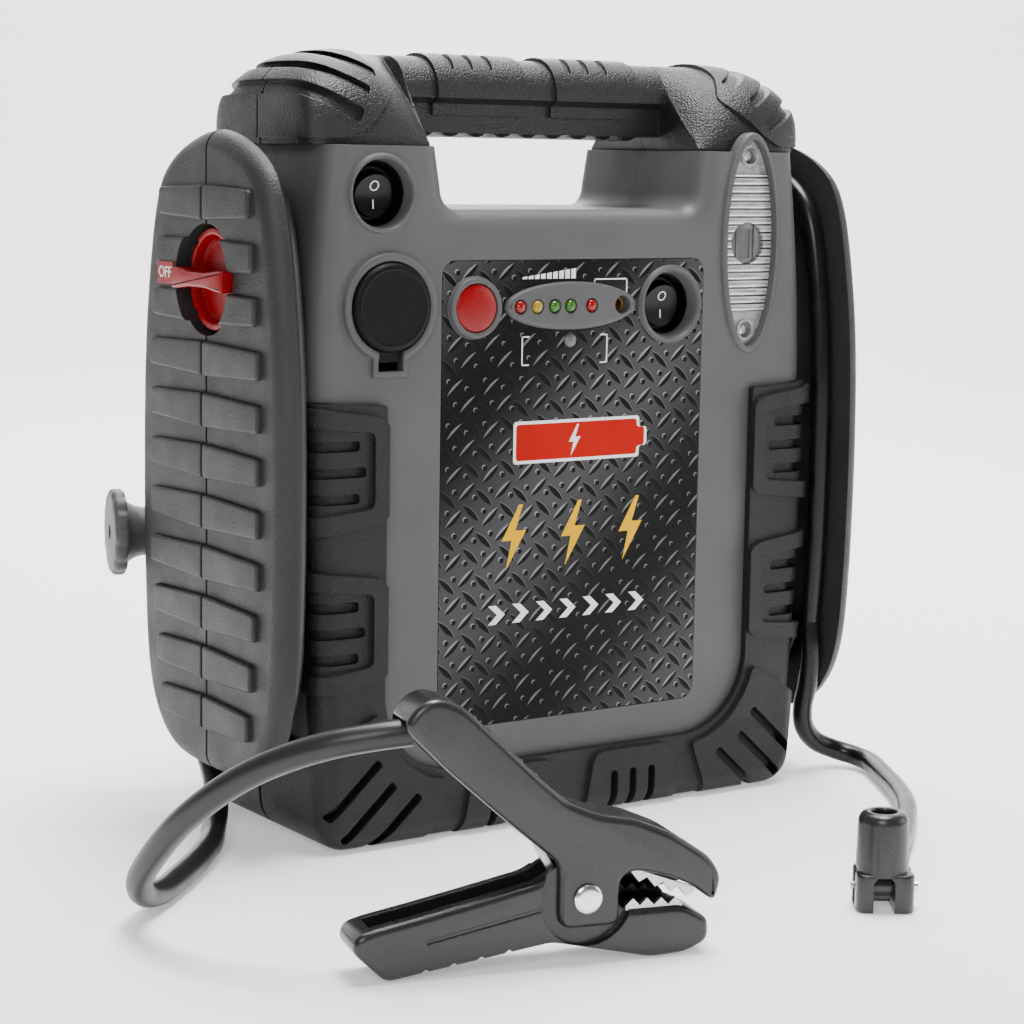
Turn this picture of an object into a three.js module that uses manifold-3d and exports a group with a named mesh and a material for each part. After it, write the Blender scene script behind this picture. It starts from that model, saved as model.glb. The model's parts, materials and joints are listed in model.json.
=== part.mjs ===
// Jump starter pack with an air compressor, a battery clamp on its lead and an air hose on its reel.
// Millimetres, +Z up, front face towards -Y.  The shells part on the plane y = 0 of the inner group,
// and the outer group moves the whole product so that its base is centred on the origin.
import * as THREE from 'three';
import { mergeVertices } from 'three/addons/utils/BufferGeometryUtils.js';
import Module from 'manifold-3d';

const wasm = await Module();
wasm.setup();

// ---- driving dimensions ------------------------------------------------------------------------
const GAP = 0.3; // clearance left between neighbouring pieces
const BODY = {
  waist: 126, waistZ: 165, sagUp: 0.00063, sagDown: 0.00027,
  front: 46.6, base: 6, top: 281.2, wall: 3.2, round: 9, roundSteps: 2, cornerR: 14,
};
const GRIP_GAP = { floor: 256.5, low: 64, high: 67.5, fillet: 8 };
const BUMPER = { windowX: 93, windowZ: 29, windowR: 34, armTop: 180, proud: 50, raised: 52 };
const HANDLE = { bottom: 281.5, barBottom: 286.8, ridge: 285, top: 317.8, end: 123.2, barHalf: 66 };
const REEL = {
  inner: 139.5, face: 148.3, tread: 150, bevel: 8.5, half: 62, bottom: 28, top: 286.4, middle: 157,
  drumInset: 24, windInset: 9,
};
const TREAD = { top: 257.8, pitch: 20.5, rows: 11, reach: 46, tall: 14, short: 11 };
const SWITCH_Z = 227.4; // height of the rotary master switch on the left reel
const PANEL = { half: 66.2, low: 44.4, high: 235.8, corner: 5, sink: 1 };
const CONTROL_Z = 217; // height of the row of controls on the label
const BULGE = { half: 90, low: 30, high: 205, rear: 88, round: 4 };
const POST = { x: 150, y: 79, z: 116, tilt: 17, stemR: 10.4, headR: 18.5, length: 64 };
const CABLE_D = 10;
const HOSE_D = 9;

const COLOUR = {
  grey: [0x6c6d6e, 0.5, 0], black: [0x262728, 0.7, 0], reel: [0x484949, 0.65, 0],
  rubber: [0x1c1c1d, 0.75, 0], red: [0xb3131c, 0.35, 0], gloss: [0x0c0c0d, 0.3, 0],
  clear: [0xdfe6e8, 0.1, 0], chrome: [0xd0d3d6, 0.15, 1], steel: [0xb9bcc0, 0.35, 1],
  brass: [0xb08d45, 0.3, 1], green: [0x3f8f3a, 0.2, 0], amber: [0xd0a52a, 0.2, 0],
  board: [0x1f5b33, 0.6, 0], label: [0x1a1a1d, 0.4, 0], hose: [0x101011, 0.25, 0],
  clamp: [0x2b2c2d, 0.4, 0],
};

// ---- solids and booleans -----------------------------------------------------------------------
function solid(geometry) {
  const bare = geometry.clone();
  bare.deleteAttribute('normal');
  bare.deleteAttribute('uv');
  const merged = mergeVertices(bare, 1e-4);
  const mesh = new wasm.Mesh({
    numProp: 3,
    vertProperties: new Float32Array(merged.attributes.position.array),
    triVerts: new Uint32Array(merged.index.array),
  });
  return new wasm.Manifold(mesh);
}

function joined(...pieces) {
  return pieces.reduce((sum, piece) => sum.add(piece));
}

function cut(base, ...tools) {
  return tools.reduce((rest, tool) => rest.subtract(tool), base);
}

function geometryOf(manifold) {
  const mesh = manifold.getMesh();
  const geometry = new THREE.BufferGeometry();
  geometry.setAttribute('position', new THREE.BufferAttribute(new Float32Array(mesh.vertProperties), 3));
  geometry.setIndex(new THREE.BufferAttribute(new Uint32Array(mesh.triVerts), 1));
  geometry.computeVertexNormals();
  return geometry;
}

const product = new THREE.Group();

function node(name, shape, colour, parent = product) {
  const geometry = shape.isBufferGeometry ? shape : geometryOf(shape);
  const [color, roughness, metalness] = COLOUR[colour];
  const mesh = new THREE.Mesh(geometry, new THREE.MeshStandardMaterial({ color, roughness, metalness }));
  mesh.name = name;
  parent.add(mesh);
  return mesh;
}

// ---- shape helpers -----------------------------------------------------------------------------
function shapeOf(points) {
  return new THREE.Shape(points.map(([u, v]) => new THREE.Vector2(u, v)));
}

function extrusion(shape, depth, bevel, segments) {
  const bevelled = bevel > 0;
  return new THREE.ExtrudeGeometry(shape, {
    depth: depth - 2 * bevel, steps: 1, curveSegments: 6, bevelEnabled: bevelled,
    bevelThickness: bevel, bevelSize: bevel, bevelOffset: -bevel, bevelSegments: segments,
  });
}

// The outline lies in X and Z, and the solid runs from y0 to y1.
function alongY(shape, y0, y1, bevel = 0, segments = 3) {
  return extrusion(shape, y1 - y0, bevel, segments).rotateX(Math.PI / 2).translate(0, y1 - bevel, 0);
}

// The outline lies in Y and Z, and the solid runs from x0 to x1.
function alongX(shape, x0, x1, bevel = 0, segments = 3) {
  const turn = new THREE.Matrix4().makeBasis(
    new THREE.Vector3(0, 1, 0), new THREE.Vector3(0, 0, 1), new THREE.Vector3(1, 0, 0));
  return extrusion(shape, x1 - x0, bevel, segments).applyMatrix4(turn).translate(x0 + bevel, 0, 0);
}

function box(x0, x1, y0, y1, z0, z1) {
  const geometry = new THREE.BoxGeometry(x1 - x0, y1 - y0, z1 - z0);
  return solid(geometry.translate((x0 + x1) / 2, (y0 + y1) / 2, (z0 + z1) / 2));
}

function discY(x, z, radius, y0, y1, sides = 20, frontRadius = radius) {
  return new THREE.CylinderGeometry(radius, frontRadius, y1 - y0, sides).translate(x, (y0 + y1) / 2, z);
}

function ellipseShape(x, z, a, b, sides = 24) {
  const points = [];
  for (let i = 0; i < sides; i += 1) {
    const angle = (i / sides) * 2 * Math.PI;
    points.push([x + a * Math.cos(angle), z + b * Math.sin(angle)]);
  }
  return shapeOf(points);
}

function arc(cx, cz, radius, from, to, steps) {
  const points = [];
  for (let i = 0; i <= steps; i += 1) {
    const angle = THREE.MathUtils.degToRad(from + ((to - from) * i) / steps);
    points.push([cx + radius * Math.cos(angle), cz + radius * Math.sin(angle)]);
  }
  return points;
}

function roundedRect(x0, x1, z0, z1, r, steps = 4) {
  return shapeOf([
    ...arc(x1 - r, z1 - r, r, 0, 90, steps), ...arc(x0 + r, z1 - r, r, 90, 180, steps),
    ...arc(x0 + r, z0 + r, r, 180, 270, steps), ...arc(x1 - r, z0 + r, r, 270, 360, steps),
  ]);
}

// A closed skin over rings that all have the same number of points.
function loft(rings) {
  const count = rings[0].length;
  const positions = rings.flat(2);
  const faces = [];
  for (let r = 0; r + 1 < rings.length; r += 1) {
    for (let i = 0; i < count; i += 1) {
      const a = r * count + i;
      const b = r * count + ((i + 1) % count);
      faces.push(a, b + count, b, a, a + count, b + count);
    }
  }
  const last = (rings.length - 1) * count;
  for (let i = 1; i + 1 < count; i += 1) {
    faces.push(0, i, i + 1, last, last + i + 1, last + i);
  }
  const geometry = new THREE.BufferGeometry();
  geometry.setAttribute('position', new THREE.Float32BufferAttribute(positions, 3));
  geometry.setIndex(faces);
  return geometry;
}

// A cord of round section along a smooth route.
function cord(route, diameter, sides, step) {
  const curve = new THREE.CatmullRomCurve3(route.map((p) => new THREE.Vector3(...p)), false, 'centripetal');
  const section = ellipseShape(0, 0, diameter / 2, diameter / 2, sides);
  const steps = Math.round(curve.getLength() / step);
  return new THREE.ExtrudeGeometry(section, { steps, bevelEnabled: false, extrudePath: curve });
}

function mirrored(manifold) {
  return manifold.mirror([1, 0, 0]);
}

// ---- body envelope -----------------------------------------------------------------------------
function bodyHalf(z) {
  const sag = z > BODY.waistZ ? BODY.sagUp : BODY.sagDown;
  return BODY.waist - sag * (z - BODY.waistZ) ** 2;
}

// Front view of the body: barrel sides, round lower corners and the grip opening from above.
function bodyOutline(inset, base) {
  const above = 300;
  const low = base + BODY.cornerR;
  const right = arc(bodyHalf(low) - inset - BODY.cornerR, low, BODY.cornerR, -90, 0, 3);
  const rows = 5;
  for (let i = 1; i <= rows; i += 1) {
    const z = low + ((above - low) * i) / rows;
    right.push([bodyHalf(z) - inset, z]);
  }
  const slope = (GRIP_GAP.high - GRIP_GAP.low) / (BODY.top - GRIP_GAP.floor);
  const floor = GRIP_GAP.floor - inset;
  const wall = (z) => GRIP_GAP.low + slope * (z - GRIP_GAP.floor) + inset;
  right.push([wall(above), above]);
  right.push(...arc(wall(floor) - GRIP_GAP.fillet, floor + GRIP_GAP.fillet, GRIP_GAP.fillet, 0, -90, 3));
  const left = right.map(([x, z]) => [-x, z]).reverse();
  return shapeOf([...right, ...left]);
}

function bodyForm(inset, depth, base = BODY.base, roundSteps = BODY.roundSteps) {
  return solid(alongY(bodyOutline(inset, base), -depth, depth, BODY.round, roundSteps));
}

function plainForm(outset, depth) {
  const right = arc(bodyHalf(BODY.cornerR) + outset - BODY.cornerR, BODY.cornerR, BODY.cornerR, -90, 0, 3);
  const rows = 4;
  for (let i = 1; i <= rows; i += 1) {
    const z = BODY.cornerR + ((230 - BODY.cornerR) * i) / rows;
    right.push([bodyHalf(z) + outset, z]);
  }
  const left = right.map(([x, z]) => [-x, z]).reverse();
  return solid(alongY(shapeOf([...right, ...left]), -depth, depth, BODY.round, BODY.roundSteps));
}

// The part of the front view that the bumper leaves open.
function windowShape(grow) {
  const half = BUMPER.windowX + grow;
  const low = BUMPER.windowZ - grow;
  const r = BUMPER.windowR;
  const right = [...arc(half - r, low + r, r, -90, 0, 4), [half, BUMPER.armTop - grow]];
  right.push([160, BUMPER.armTop - grow + 3], [160, 330]);
  const left = right.map(([x, z]) => [-x, z]).reverse();
  return shapeOf([...right, ...left]);
}

const HALVES = {
  front: box(-200, 200, -200, -GAP / 2, -20, 400),
  rear: box(-200, 200, GAP / 2, 200, -20, 400),
};

// ---- controls on the front ---------------------------------------------------------------------
const POWER = { x: -95, z: 262.5, ring: 15.5, mouth: 13.8, well: 10.9 };
const LIGHT = { x: 48.7, z: 216.6, ring: 16.3, mouth: 14.4, well: 11.4 };
const SOCKET = { x: -91, z: 218, ring: 21.5, cap: 17.9, bore: 10.6, notch: 6 };
const BUTTON = { x: -51, z: CONTROL_Z, ring: 12.4, r: 9.7, travel: 2.5 };
const ISLAND = { x: -3.3, a: 33, b: 10 };
const LAMPS = [
  ['low_charge_lamp', -29.6, 'red'], ['half_charge_lamp', -21.2, 'amber'],
  ['good_charge_lamp', -12.6, 'green'], ['full_charge_lamp', -4.5, 'green'],
  ['charging_lamp', 6.2, 'red'],
];
const LAMP_R = 2.6;
const JACK = { x: 22.3, r: 4.4 };
const POLARITY = { x: -3.2, z: 202.7 };
const WORK_LIGHT = { x: 91.7, z: 242, rimA: 16, rimB: 47.5, a: 13.6, b: 44.6, screw: 37.5 };

function switchRing({ x, z, ring }) {
  return solid(discY(x, z, ring, -BODY.front + 12, -BODY.front - 1.8, 32).translate(0, 0, 0));
}

function switchMouth({ x, z, mouth, well }) {
  const funnel = solid(discY(x, z, well, -BODY.front - 2.2, -BODY.front + 8.2, 32, mouth));
  return funnel.add(solid(discY(x, z, well, -60, -20, 22)));
}

function frontBosses() {
  const face = -BODY.front;
  const rings = [POWER, LIGHT].map(({ x, z, ring }) => solid(discY(x, z, ring, face - 1.8, face + 12, 22)));
  const socketRing = solid(discY(SOCKET.x, SOCKET.z, SOCKET.ring, face - 2.2, face + 7, 22));
  const buttonRing = solid(discY(BUTTON.x, BUTTON.z, BUTTON.ring, face - 1.8, face + 6, 18));
  const island = solid(alongY(ellipseShape(ISLAND.x, CONTROL_Z, ISLAND.a, ISLAND.b), face - 1.8, face + 5));
  const rim = solid(alongY(ellipseShape(WORK_LIGHT.x, WORK_LIGHT.z, WORK_LIGHT.rimA, WORK_LIGHT.rimB),
    face - 2.6, face + 12));
  return joined(...rings, socketRing, buttonRing, island, rim);
}

function frontOpenings() {
  const face = -BODY.front;
  const lampHoles = LAMPS.map(([, x]) => solid(discY(x, CONTROL_Z, LAMP_R + GAP, -60, -30, 12)));
  return joined(
    switchMouth(POWER), switchMouth(LIGHT),
    solid(discY(SOCKET.x, SOCKET.z, SOCKET.cap + GAP, face - 5, face + 5.8, 22)),
    solid(discY(SOCKET.x, SOCKET.z, 14, -60, -30, 18)),
    box(SOCKET.x - SOCKET.notch, SOCKET.x + SOCKET.notch, face - 5, face + 3.4, SOCKET.z - 25, SOCKET.z - 10),
    solid(discY(BUTTON.x, BUTTON.z, BUTTON.r + GAP, -60, -30, 18)),
    ...lampHoles,
    solid(discY(JACK.x, CONTROL_Z, JACK.r + GAP, -60, -30, 20)),
    solid(discY(POLARITY.x, POLARITY.z, LAMP_R + GAP, -60, -30, 12)),
    solid(alongY(ellipseShape(WORK_LIGHT.x, WORK_LIGHT.z, WORK_LIGHT.a, WORK_LIGHT.b), -60, -30)),
  );
}

// ---- housings ----------------------------------------------------------------------------------
function housingShell() {
  const window = solid(alongY(windowShape(0), -60, 60));
  const outer = joined(bodyForm(1.8, BODY.front), bodyForm(0, BODY.front).intersect(window));
  const top = box(-200, 200, -100, 100, BODY.top, 400);
  const inside = BODY.front - BODY.wall;
  const hollow = solid(alongY(bodyOutline(5.2, BODY.base + BODY.wall), -inside, inside));
  const cavity = hollow.intersect(box(-200, 200, -100, 100, 0, BODY.top - BODY.wall));
  return cut(outer, top, cavity);
}

function labelRecess() {
  const shape = roundedRect(-PANEL.half - GAP, PANEL.half + GAP, PANEL.low - GAP, PANEL.high + GAP,
    PANEL.corner);
  return solid(alongY(shape, -BODY.front - 4, -BODY.front + PANEL.sink));
}

function frontHousing(shell) {
  const front = shell.intersect(HALVES.front).subtract(labelRecess());
  const rimCut = box(-200, 200, -100, -GAP / 2, 0, 400);
  return cut(front.add(frontBosses().intersect(rimCut)), frontOpenings());
}

const GAUGE = { x: 45, z: 165, r: 21 };
const COMPRESSOR_SWITCH = { x: -45, z: 165, a: 10.5, b: 15 };

function rearHousing(shell) {
  const outline = roundedRect(-BULGE.half, BULGE.half, BULGE.low, BULGE.high, 18);
  const bulge = solid(alongY(outline, 39.5, BULGE.rear, BULGE.round, 2));
  const wall = BODY.wall;
  const inner = BULGE.half - wall;
  const hollowShape = roundedRect(-inner, inner, BULGE.low + wall, BULGE.high - wall, 15, 3);
  const hollow = solid(alongY(hollowShape, 20, BULGE.rear - wall));
  const gaugeHole = solid(discY(GAUGE.x, GAUGE.z, GAUGE.r + GAP, 70, 100, 22));
  const { x, z, a, b } = COMPRESSOR_SWITCH;
  const switchHole = box(x - a - GAP, x + a + GAP, 70, 100, z - b - GAP, z + b + GAP);
  return cut(joined(shell.intersect(HALVES.rear), bulge), hollow, gaugeHole, switchHole)
    .intersect(HALVES.rear);
}

// ---- bumpers -----------------------------------------------------------------------------------
// Each raised frame is a C of even width, open towards the side of the body.
const SIDE_FRAMES = [{ low: 133, high: 174.5 }, { low: 69.3, high: 110 }];

function sideFrame({ low, high }) {
  const edge = BUMPER.windowX - 1;
  const outer = shapeOf([[135, low - 5], [edge + 4, low], [edge, low + 4], [edge, high - 4],
    [edge + 5, high + 1], [135, high + 6]]);
  const inner = shapeOf([[140, low + 2], [edge + 8, low + 6], [edge + 8, high - 5], [140, high - 1]]);
  return solid(alongY(outer, -70, -1)).subtract(solid(alongY(inner, -71, 0)));
}

function sideSlots({ low, high }) {
  const middle = (low + high) / 2;
  return [-10.5, 0, 10.5].map((offset, i) => {
    const start = i === 1 ? 104 : 106;
    return box(start, 145, -70, -1, middle + offset - 2, middle + offset + 2);
  });
}

function cornerGuard() {
  const points = [[74, -4], [63, 25], [73, 27], [84, 34], [92, 44], [97, 56], [135, 33], [135, -4]];
  return solid(alongY(shapeOf(points), -70, -1));
}

const GUARD_SLOTS = [[106, 27.5], [99, 17.5], [87, 11.5]];

function cornerSlots() {
  return GUARD_SLOTS.map(([x, z]) => {
    const slot = box(-13, 17, -70, -1, -1.9, 1.9);
    return slot.rotate([0, 42, 0]).translate([x, 0, z]);
  });
}

function baseFrame(centre) {
  const outer = shapeOf([[centre - 26, -4], [centre - 21, 24], [centre - 17, 27], [centre + 17, 27],
    [centre + 21, 24], [centre + 26, -4]]);
  const inner = shapeOf([[centre - 18, -5], [centre - 14, 21], [centre + 14, 21], [centre + 18, -5]]);
  return solid(alongY(outer, -70, -1)).subtract(solid(alongY(inner, -71, 0)));
}

function baseSlots(centre) {
  return [-10, 0, 10].map((x) => (
    box(centre + x - 1.8, centre + x + 1.8, -70, -1, -6, 17)));
}

function frontBumper() {
  const ring = solid(alongY(windowShape(GAP), -70, 70));
  const base = plainForm(1, BUMPER.proud);
  const raised = plainForm(2.8, BUMPER.raised);
  const right = [...SIDE_FRAMES.map(sideFrame), cornerGuard(), baseFrame(31)];
  const frames = joined(...right, ...right.map(mirrored));
  const slotsRight = [...SIDE_FRAMES.flatMap(sideSlots), ...cornerSlots(), ...baseSlots(31)];
  const floorOfSlots = plainForm(-0.6, BUMPER.proud - 1.6);
  const slots = joined(...slotsRight, ...slotsRight.map(mirrored)).subtract(floorOfSlots);
  const body = joined(base, raised.intersect(frames));
  const reelRoom = box(110, 200, -40, 40, 42, 300);
  const above = box(-200, 200, -100, 100, BUMPER.armTop + 2, 400);
  const whole = cut(body, ring, slots, bodyForm(1.5, BODY.front + GAP, BODY.base - GAP),
    reelRoom, mirrored(reelRoom), above, box(-200, 200, -100, 100, -30, 0));
  return whole.intersect(HALVES.front);
}

// ---- carrying handle ---------------------------------------------------------------------------
// Half depth at the foot and at the widest height, that height, the crown and its squareness.
const HANDLE_STATIONS = [
  [123.2, 30, 30, 281.5, 297, 4.5], [120.5, 38, 38, 281.5, 305.5, 3.3],
  [109, 42, 42, 281.5, 314.5, 2.6], [94, 43, 43, 281.5, 317.6, 2.3], [78, 42, 42, 281.5, 317.8, 1.6],
  [68.2, 39, 39, 281.5, 317.8, 1.05],
];

function handleRing(x, [foot, half, widest, top, square, bottom], grow, steps) {
  const side = [[foot + grow, bottom], [half + grow, widest]];
  for (let i = 1; i < steps; i += 1) {
    const angle = (i / steps) * (Math.PI / 2);
    const y = (half + grow) * Math.cos(angle) ** (2 / square);
    side.push([y, widest + (top + grow - widest) * Math.sin(angle) ** (2 / square)]);
  }
  const ring = [...side, [0, top + grow], ...side.map(([y, z]) => [-y, z]).reverse()];
  return ring.map(([y, z]) => [x, y, z]);
}

function handleForm(grow = 0, bottomLift = 0, steps = 5) {
  const stations = HANDLE_STATIONS.map(([x, foot, half, widest, top, square]) => (
    [x + grow, foot, half, widest + 0.5, top, square, HANDLE.bottom + bottomLift]));
  const bar = [66.4, 56].map((x) => (
    [x, 13, 17.5, 301, HANDLE.top, 2.2, HANDLE.barBottom + bottomLift]));
  const half = [...stations, ...bar];
  const all = [...half, ...half.slice().reverse().map(([x, ...rest]) => [-x, ...rest])];
  const rings = all.map(([x, ...section]) => handleRing(x, section, grow, steps));
  return solid(loft(rings));
}

function gripCollars() {
  const region = [-1, 1].map((side) => {
    const centre = 29.5 * side;
    return box(centre - 21, centre + 21, -40, 40, 294, 330);
  });
  const slots = [];
  for (const side of [-1, 1]) {
    for (const offset of [-9, 0, 9]) {
      slots.push(box(side * 29.5 + offset - 1.5, side * 29.5 + offset + 1.5, -30, 30, 303, 330));
    }
  }
  return cut(handleForm(1.5).intersect(joined(...region)), ...slots);
}

function gripRidges() {
  const ridges = [];
  for (let i = 0; i < 9; i += 1) {
    ridges.push(solid(discY(-52 + 13 * i, HANDLE.ridge + 7, 7, -11, 11, 8)));
  }
  return joined(...ridges);
}

function handleGuards() {
  const chevron = shapeOf([[-140, 283.5], [-109, 283.5], [-100, 288], [-82, 303.5], [-88, 314], [-90, 330],
    [-140, 330]]);
  const slots = [[-112, 296, 34], [-107, 304.5, 34], [-101, 312, 30]].map(([x, z, length]) => {
    const bar = box(-length, 9, -70, 70, -1.8, 1.8);
    return bar.rotate([0, 28, 0]).translate([x, 0, z]);
  });
  const left = cut(handleForm(1.6).intersect(solid(alongY(chevron, -60, 60))), ...slots);
  return left.add(mirrored(left));
}

function handleCover() {
  const outer = joined(handleForm(), gripRidges(), gripCollars(), handleGuards());
  const block = box(70, 117.5, -34, 34, 285, 304);
  const inner = joined(block, mirrored(block), box(-80, 80, -9, 9, 299, 313));
  const rim = solid(alongY(ellipseShape(WORK_LIGHT.x, WORK_LIGHT.z, WORK_LIGHT.rimA + GAP,
    WORK_LIGHT.rimB + GAP), -60, -30));
  return cut(outer, inner, rim, box(-200, 200, -100, 100, 200, HANDLE.bottom));
}

// ---- side reels --------------------------------------------------------------------------------
// Side view of the reel: a barrel with a domed top and round lower corners.
const REEL_PROFILE = [
  [0, 286.4], [20, 282.6], [37, 274.6], [47, 263], [54, 240], [60, 200], [62, 150], [61, 95], [57.5, 62],
  [49, 43], [36, 32], [18, 28],
];

function reelOutline(inset) {
  const wide = 1 - inset / REEL.half;
  const tall = 1 - inset / (REEL.top - REEL.middle);
  const right = REEL_PROFILE.map(([y, z]) => new THREE.Vector2(y, z));
  const left = REEL_PROFILE.slice(1).map(([y, z]) => new THREE.Vector2(-y, z)).reverse();
  const loop = [...right, ...left].map((p) => new THREE.Vector3(p.x, p.y, 0));
  const curve = new THREE.CatmullRomCurve3(loop, true, 'centripetal');
  const points = curve.getPoints(32).slice(0, -1);
  return shapeOf(points.map((p) => [p.x * wide, REEL.middle + (p.y - REEL.middle) * tall]).reverse());
}

function treadBlocks() {
  const blocks = [];
  for (let row = 0; row < TREAD.rows; row += 1) {
    const z = TREAD.top - row * TREAD.pitch;
    const narrow = Math.min(1, 0.82 + 0.06 * Math.min(row, TREAD.rows - 1 - row));
    const reach = TREAD.reach * narrow;
    const { tall, short } = TREAD;
    const half = [[0, z + tall / 2], [0, z - tall / 2], [reach - 2, z - short / 2], [reach, z - short / 2 + 2],
      [reach, z + short / 2 - 2], [reach - 2, z + short / 2]];
    blocks.push(solid(alongX(shapeOf(half), REEL.face - 1, REEL.tread)));
  }
  const rear = joined(...blocks);
  return rear.add(rear.mirror([0, 1, 0]));
}

function reelBody(body) {
  const disc = solid(alongX(reelOutline(0), REEL.face - 28, REEL.face, REEL.bevel, 2))
    .intersect(box(REEL.inner, 200, -100, 100, 0, 400));
  const drum = solid(alongX(reelOutline(REEL.drumInset), 112, REEL.inner + 2));
  return joined(disc, drum, treadBlocks()).subtract(body);
}

function masterSwitchWell() {
  const well = new THREE.CylinderGeometry(22.2, 22.2, 40, 36).rotateZ(Math.PI / 2);
  return solid(well.translate(-REEL.face - 20 + 14, 0, SWITCH_Z));
}

function winding(outline, x0, x1) {
  const hole = solid(alongX(reelOutline(REEL.drumInset - 0.6), x0 - 1, x1 + 1));
  return solid(alongX(outline, x0, x1, 3.2, 2)).subtract(hole);
}

// ---- parking posts -----------------------------------------------------------------------------
function parkingPost() {
  const flutes = 12;
  const rim = [];
  for (let i = 0; i < flutes * 2; i += 1) {
    const angle = (i / (flutes * 2)) * 2 * Math.PI;
    const r = POST.headR - (i % 2) * 0.9;
    rim.push([r * Math.cos(angle), r * Math.sin(angle)]);
  }
  const head = solid(alongX(shapeOf(rim), -2.5, 3.5, 1.5, 1));
  const stem = solid(new THREE.CylinderGeometry(POST.stemR, POST.stemR, POST.length, 16).rotateZ(Math.PI / 2)
    .translate(POST.length / 2 + 2, 0, 0));
  const bore = solid(new THREE.CylinderGeometry(3, 3, 12, 8).rotateZ(Math.PI / 2));
  return cut(joined(head, stem), bore).rotate([0, 0, -POST.tilt]).translate([-POST.x, POST.y, POST.z]);
}

// ---- assemble the main unit --------------------------------------------------------------------
const shell = housingShell();
const housingRear = rearHousing(shell);
const postLeft = parkingPost().subtract(box(-BULGE.half + BODY.wall, 0, 0, 200, 0, 300));
const postHole = parkingPost().intersect(box(-BULGE.half - 5, 0, 0, 200, 0, 300));
const postRoom = joined(postHole.translate([0, GAP, 0]), postHole.translate([0, -GAP, 0]),
  postHole.translate([0, 0, GAP]), postHole.translate([0, 0, -GAP]));

node('front_housing', frontHousing(shell), 'grey');
node('rear_housing', cut(housingRear, postRoom, mirrored(postRoom)), 'grey');
const bumper = frontBumper();
node('front_bumper', bumper, 'black');
node('rear_bumper', cut(bumper.mirror([0, 1, 0]),
  box(-BULGE.half - GAP, BULGE.half + GAP, 30, 200, BULGE.low - GAP, 400)), 'black');

const cover = handleCover();
node('handle_front_cover', cover.intersect(HALVES.front), 'black');
node('handle_rear_cover', cover.intersect(HALVES.rear), 'black');

const bodySides = joined(bodyForm(-GAP, BODY.front + GAP), plainForm(1 + GAP, BUMPER.proud));
const rightReel = reelBody(bodySides);
const leftReel = mirrored(rightReel).subtract(masterSwitchWell());
node('left_reel_front', leftReel.intersect(HALVES.front), 'reel');
node('left_reel_rear', leftReel.intersect(HALVES.rear), 'reel');
node('right_reel_front', rightReel.intersect(HALVES.front), 'reel');
node('right_reel_rear', rightReel.intersect(HALVES.rear), 'reel');

node('left_parking_post', postLeft, 'reel');
node('right_parking_post', mirrored(postLeft), 'reel');

// ---- label and controls ------------------------------------------------------------------------
function labelPlate() {
  const face = -BODY.front;
  const plate = solid(alongY(roundedRect(-PANEL.half, PANEL.half, PANEL.low, PANEL.high, PANEL.corner),
    face, face + 0.7));
  const clear = 0.4;
  return cut(plate,
    solid(discY(LIGHT.x, LIGHT.z, LIGHT.ring + clear, face - 3, face + 3, 22)),
    solid(discY(BUTTON.x, BUTTON.z, BUTTON.ring + clear, face - 3, face + 3, 18)),
    solid(alongY(ellipseShape(ISLAND.x, CONTROL_Z, ISLAND.a + clear, ISLAND.b + clear), face - 3, face + 3)),
    solid(discY(SOCKET.x, SOCKET.z, SOCKET.ring + clear, face - 3, face + 3, 22)),
    solid(discY(POLARITY.x, POLARITY.z, LAMP_R + clear, face - 3, face + 3, 12)),
  );
}

// A round lamp, capsule or button: a cylinder with a domed front.
function domed(x, z, radius, y0, y1, dome, sides) {
  const profile = [[0, y1], [radius, y1], [radius, y0 + dome]];
  for (let i = 1; i < 3; i += 1) {
    const angle = (i / 3) * (Math.PI / 2);
    profile.push([radius * Math.cos(angle), y0 + dome - dome * Math.sin(angle)]);
  }
  profile.push([0, y0]);
  const points = profile.map(([r, y]) => new THREE.Vector2(r, -y));
  return new THREE.LatheGeometry(points, sides).rotateX(Math.PI).translate(x, 0, z);
}

function switchBody({ x, z, well }) {
  const face = -BODY.front;
  const body = solid(discY(x, z, well - GAP, face + 8.6, face + 26, 22));
  return body.subtract(solid(discY(x, z, well - 1.4, face, face + 17, 22)));
}

// The rocker's front is a shallow V, and it rests with its upper half pressed in.
function rocker({ x, z, well }, name) {
  const r = well - 2.2;
  const v = shapeOf([[-r - 1, 0], [r + 1, 0], [r + 1, 6.6], [0, 4.9], [-r - 1, 6.6]]);
  const wedge = solid(alongX(v, -r - 1, r + 1)).rotate([90, 0, 0]).mirror([0, 0, 1]);
  const block = solid(discY(0, 0, r, -10, 10, 18)).intersect(wedge.translate([0, 0, 0]));
  const mesh = node(name, block, 'gloss');
  mesh.position.set(x, -BODY.front + 13, z);
  mesh.rotation.x = THREE.MathUtils.degToRad(7);
  return mesh;
}

function dcSocket() {
  const face = -BODY.front;
  const flange = solid(discY(SOCKET.x, SOCKET.z, SOCKET.cap - 0.4, face + 3.7, face + 5.4, 22));
  const { x, z } = SOCKET;
  const barrel = solid(discY(x, z, 13.4, face + 4, face + 46, 18));
  return cut(joined(flange, barrel), solid(discY(x, z, SOCKET.bore, face, face + 43, 18)));
}

function socketCap() {
  const face = -BODY.front;
  const { x, z, cap } = SOCKET;
  const profile = [[0, 4], [cap - 2.4, 4], [cap, 2.2], [cap, -1.4], [cap - 1.4, -3], [8, -3], [8, -6.4],
    [0, -6.4]];
  const lid = new THREE.LatheGeometry(profile.map(([r, y]) => new THREE.Vector2(r, y)).reverse(), 36);
  const disc = solid(lid).rotate([0, 0, 180]).translate([x, face, z]);
  const strap = box(x - 5, x + 5, face - 0.4, face + 1.8, z - 21.6, z - cap + 2);
  return disc.add(strap);
}

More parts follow.
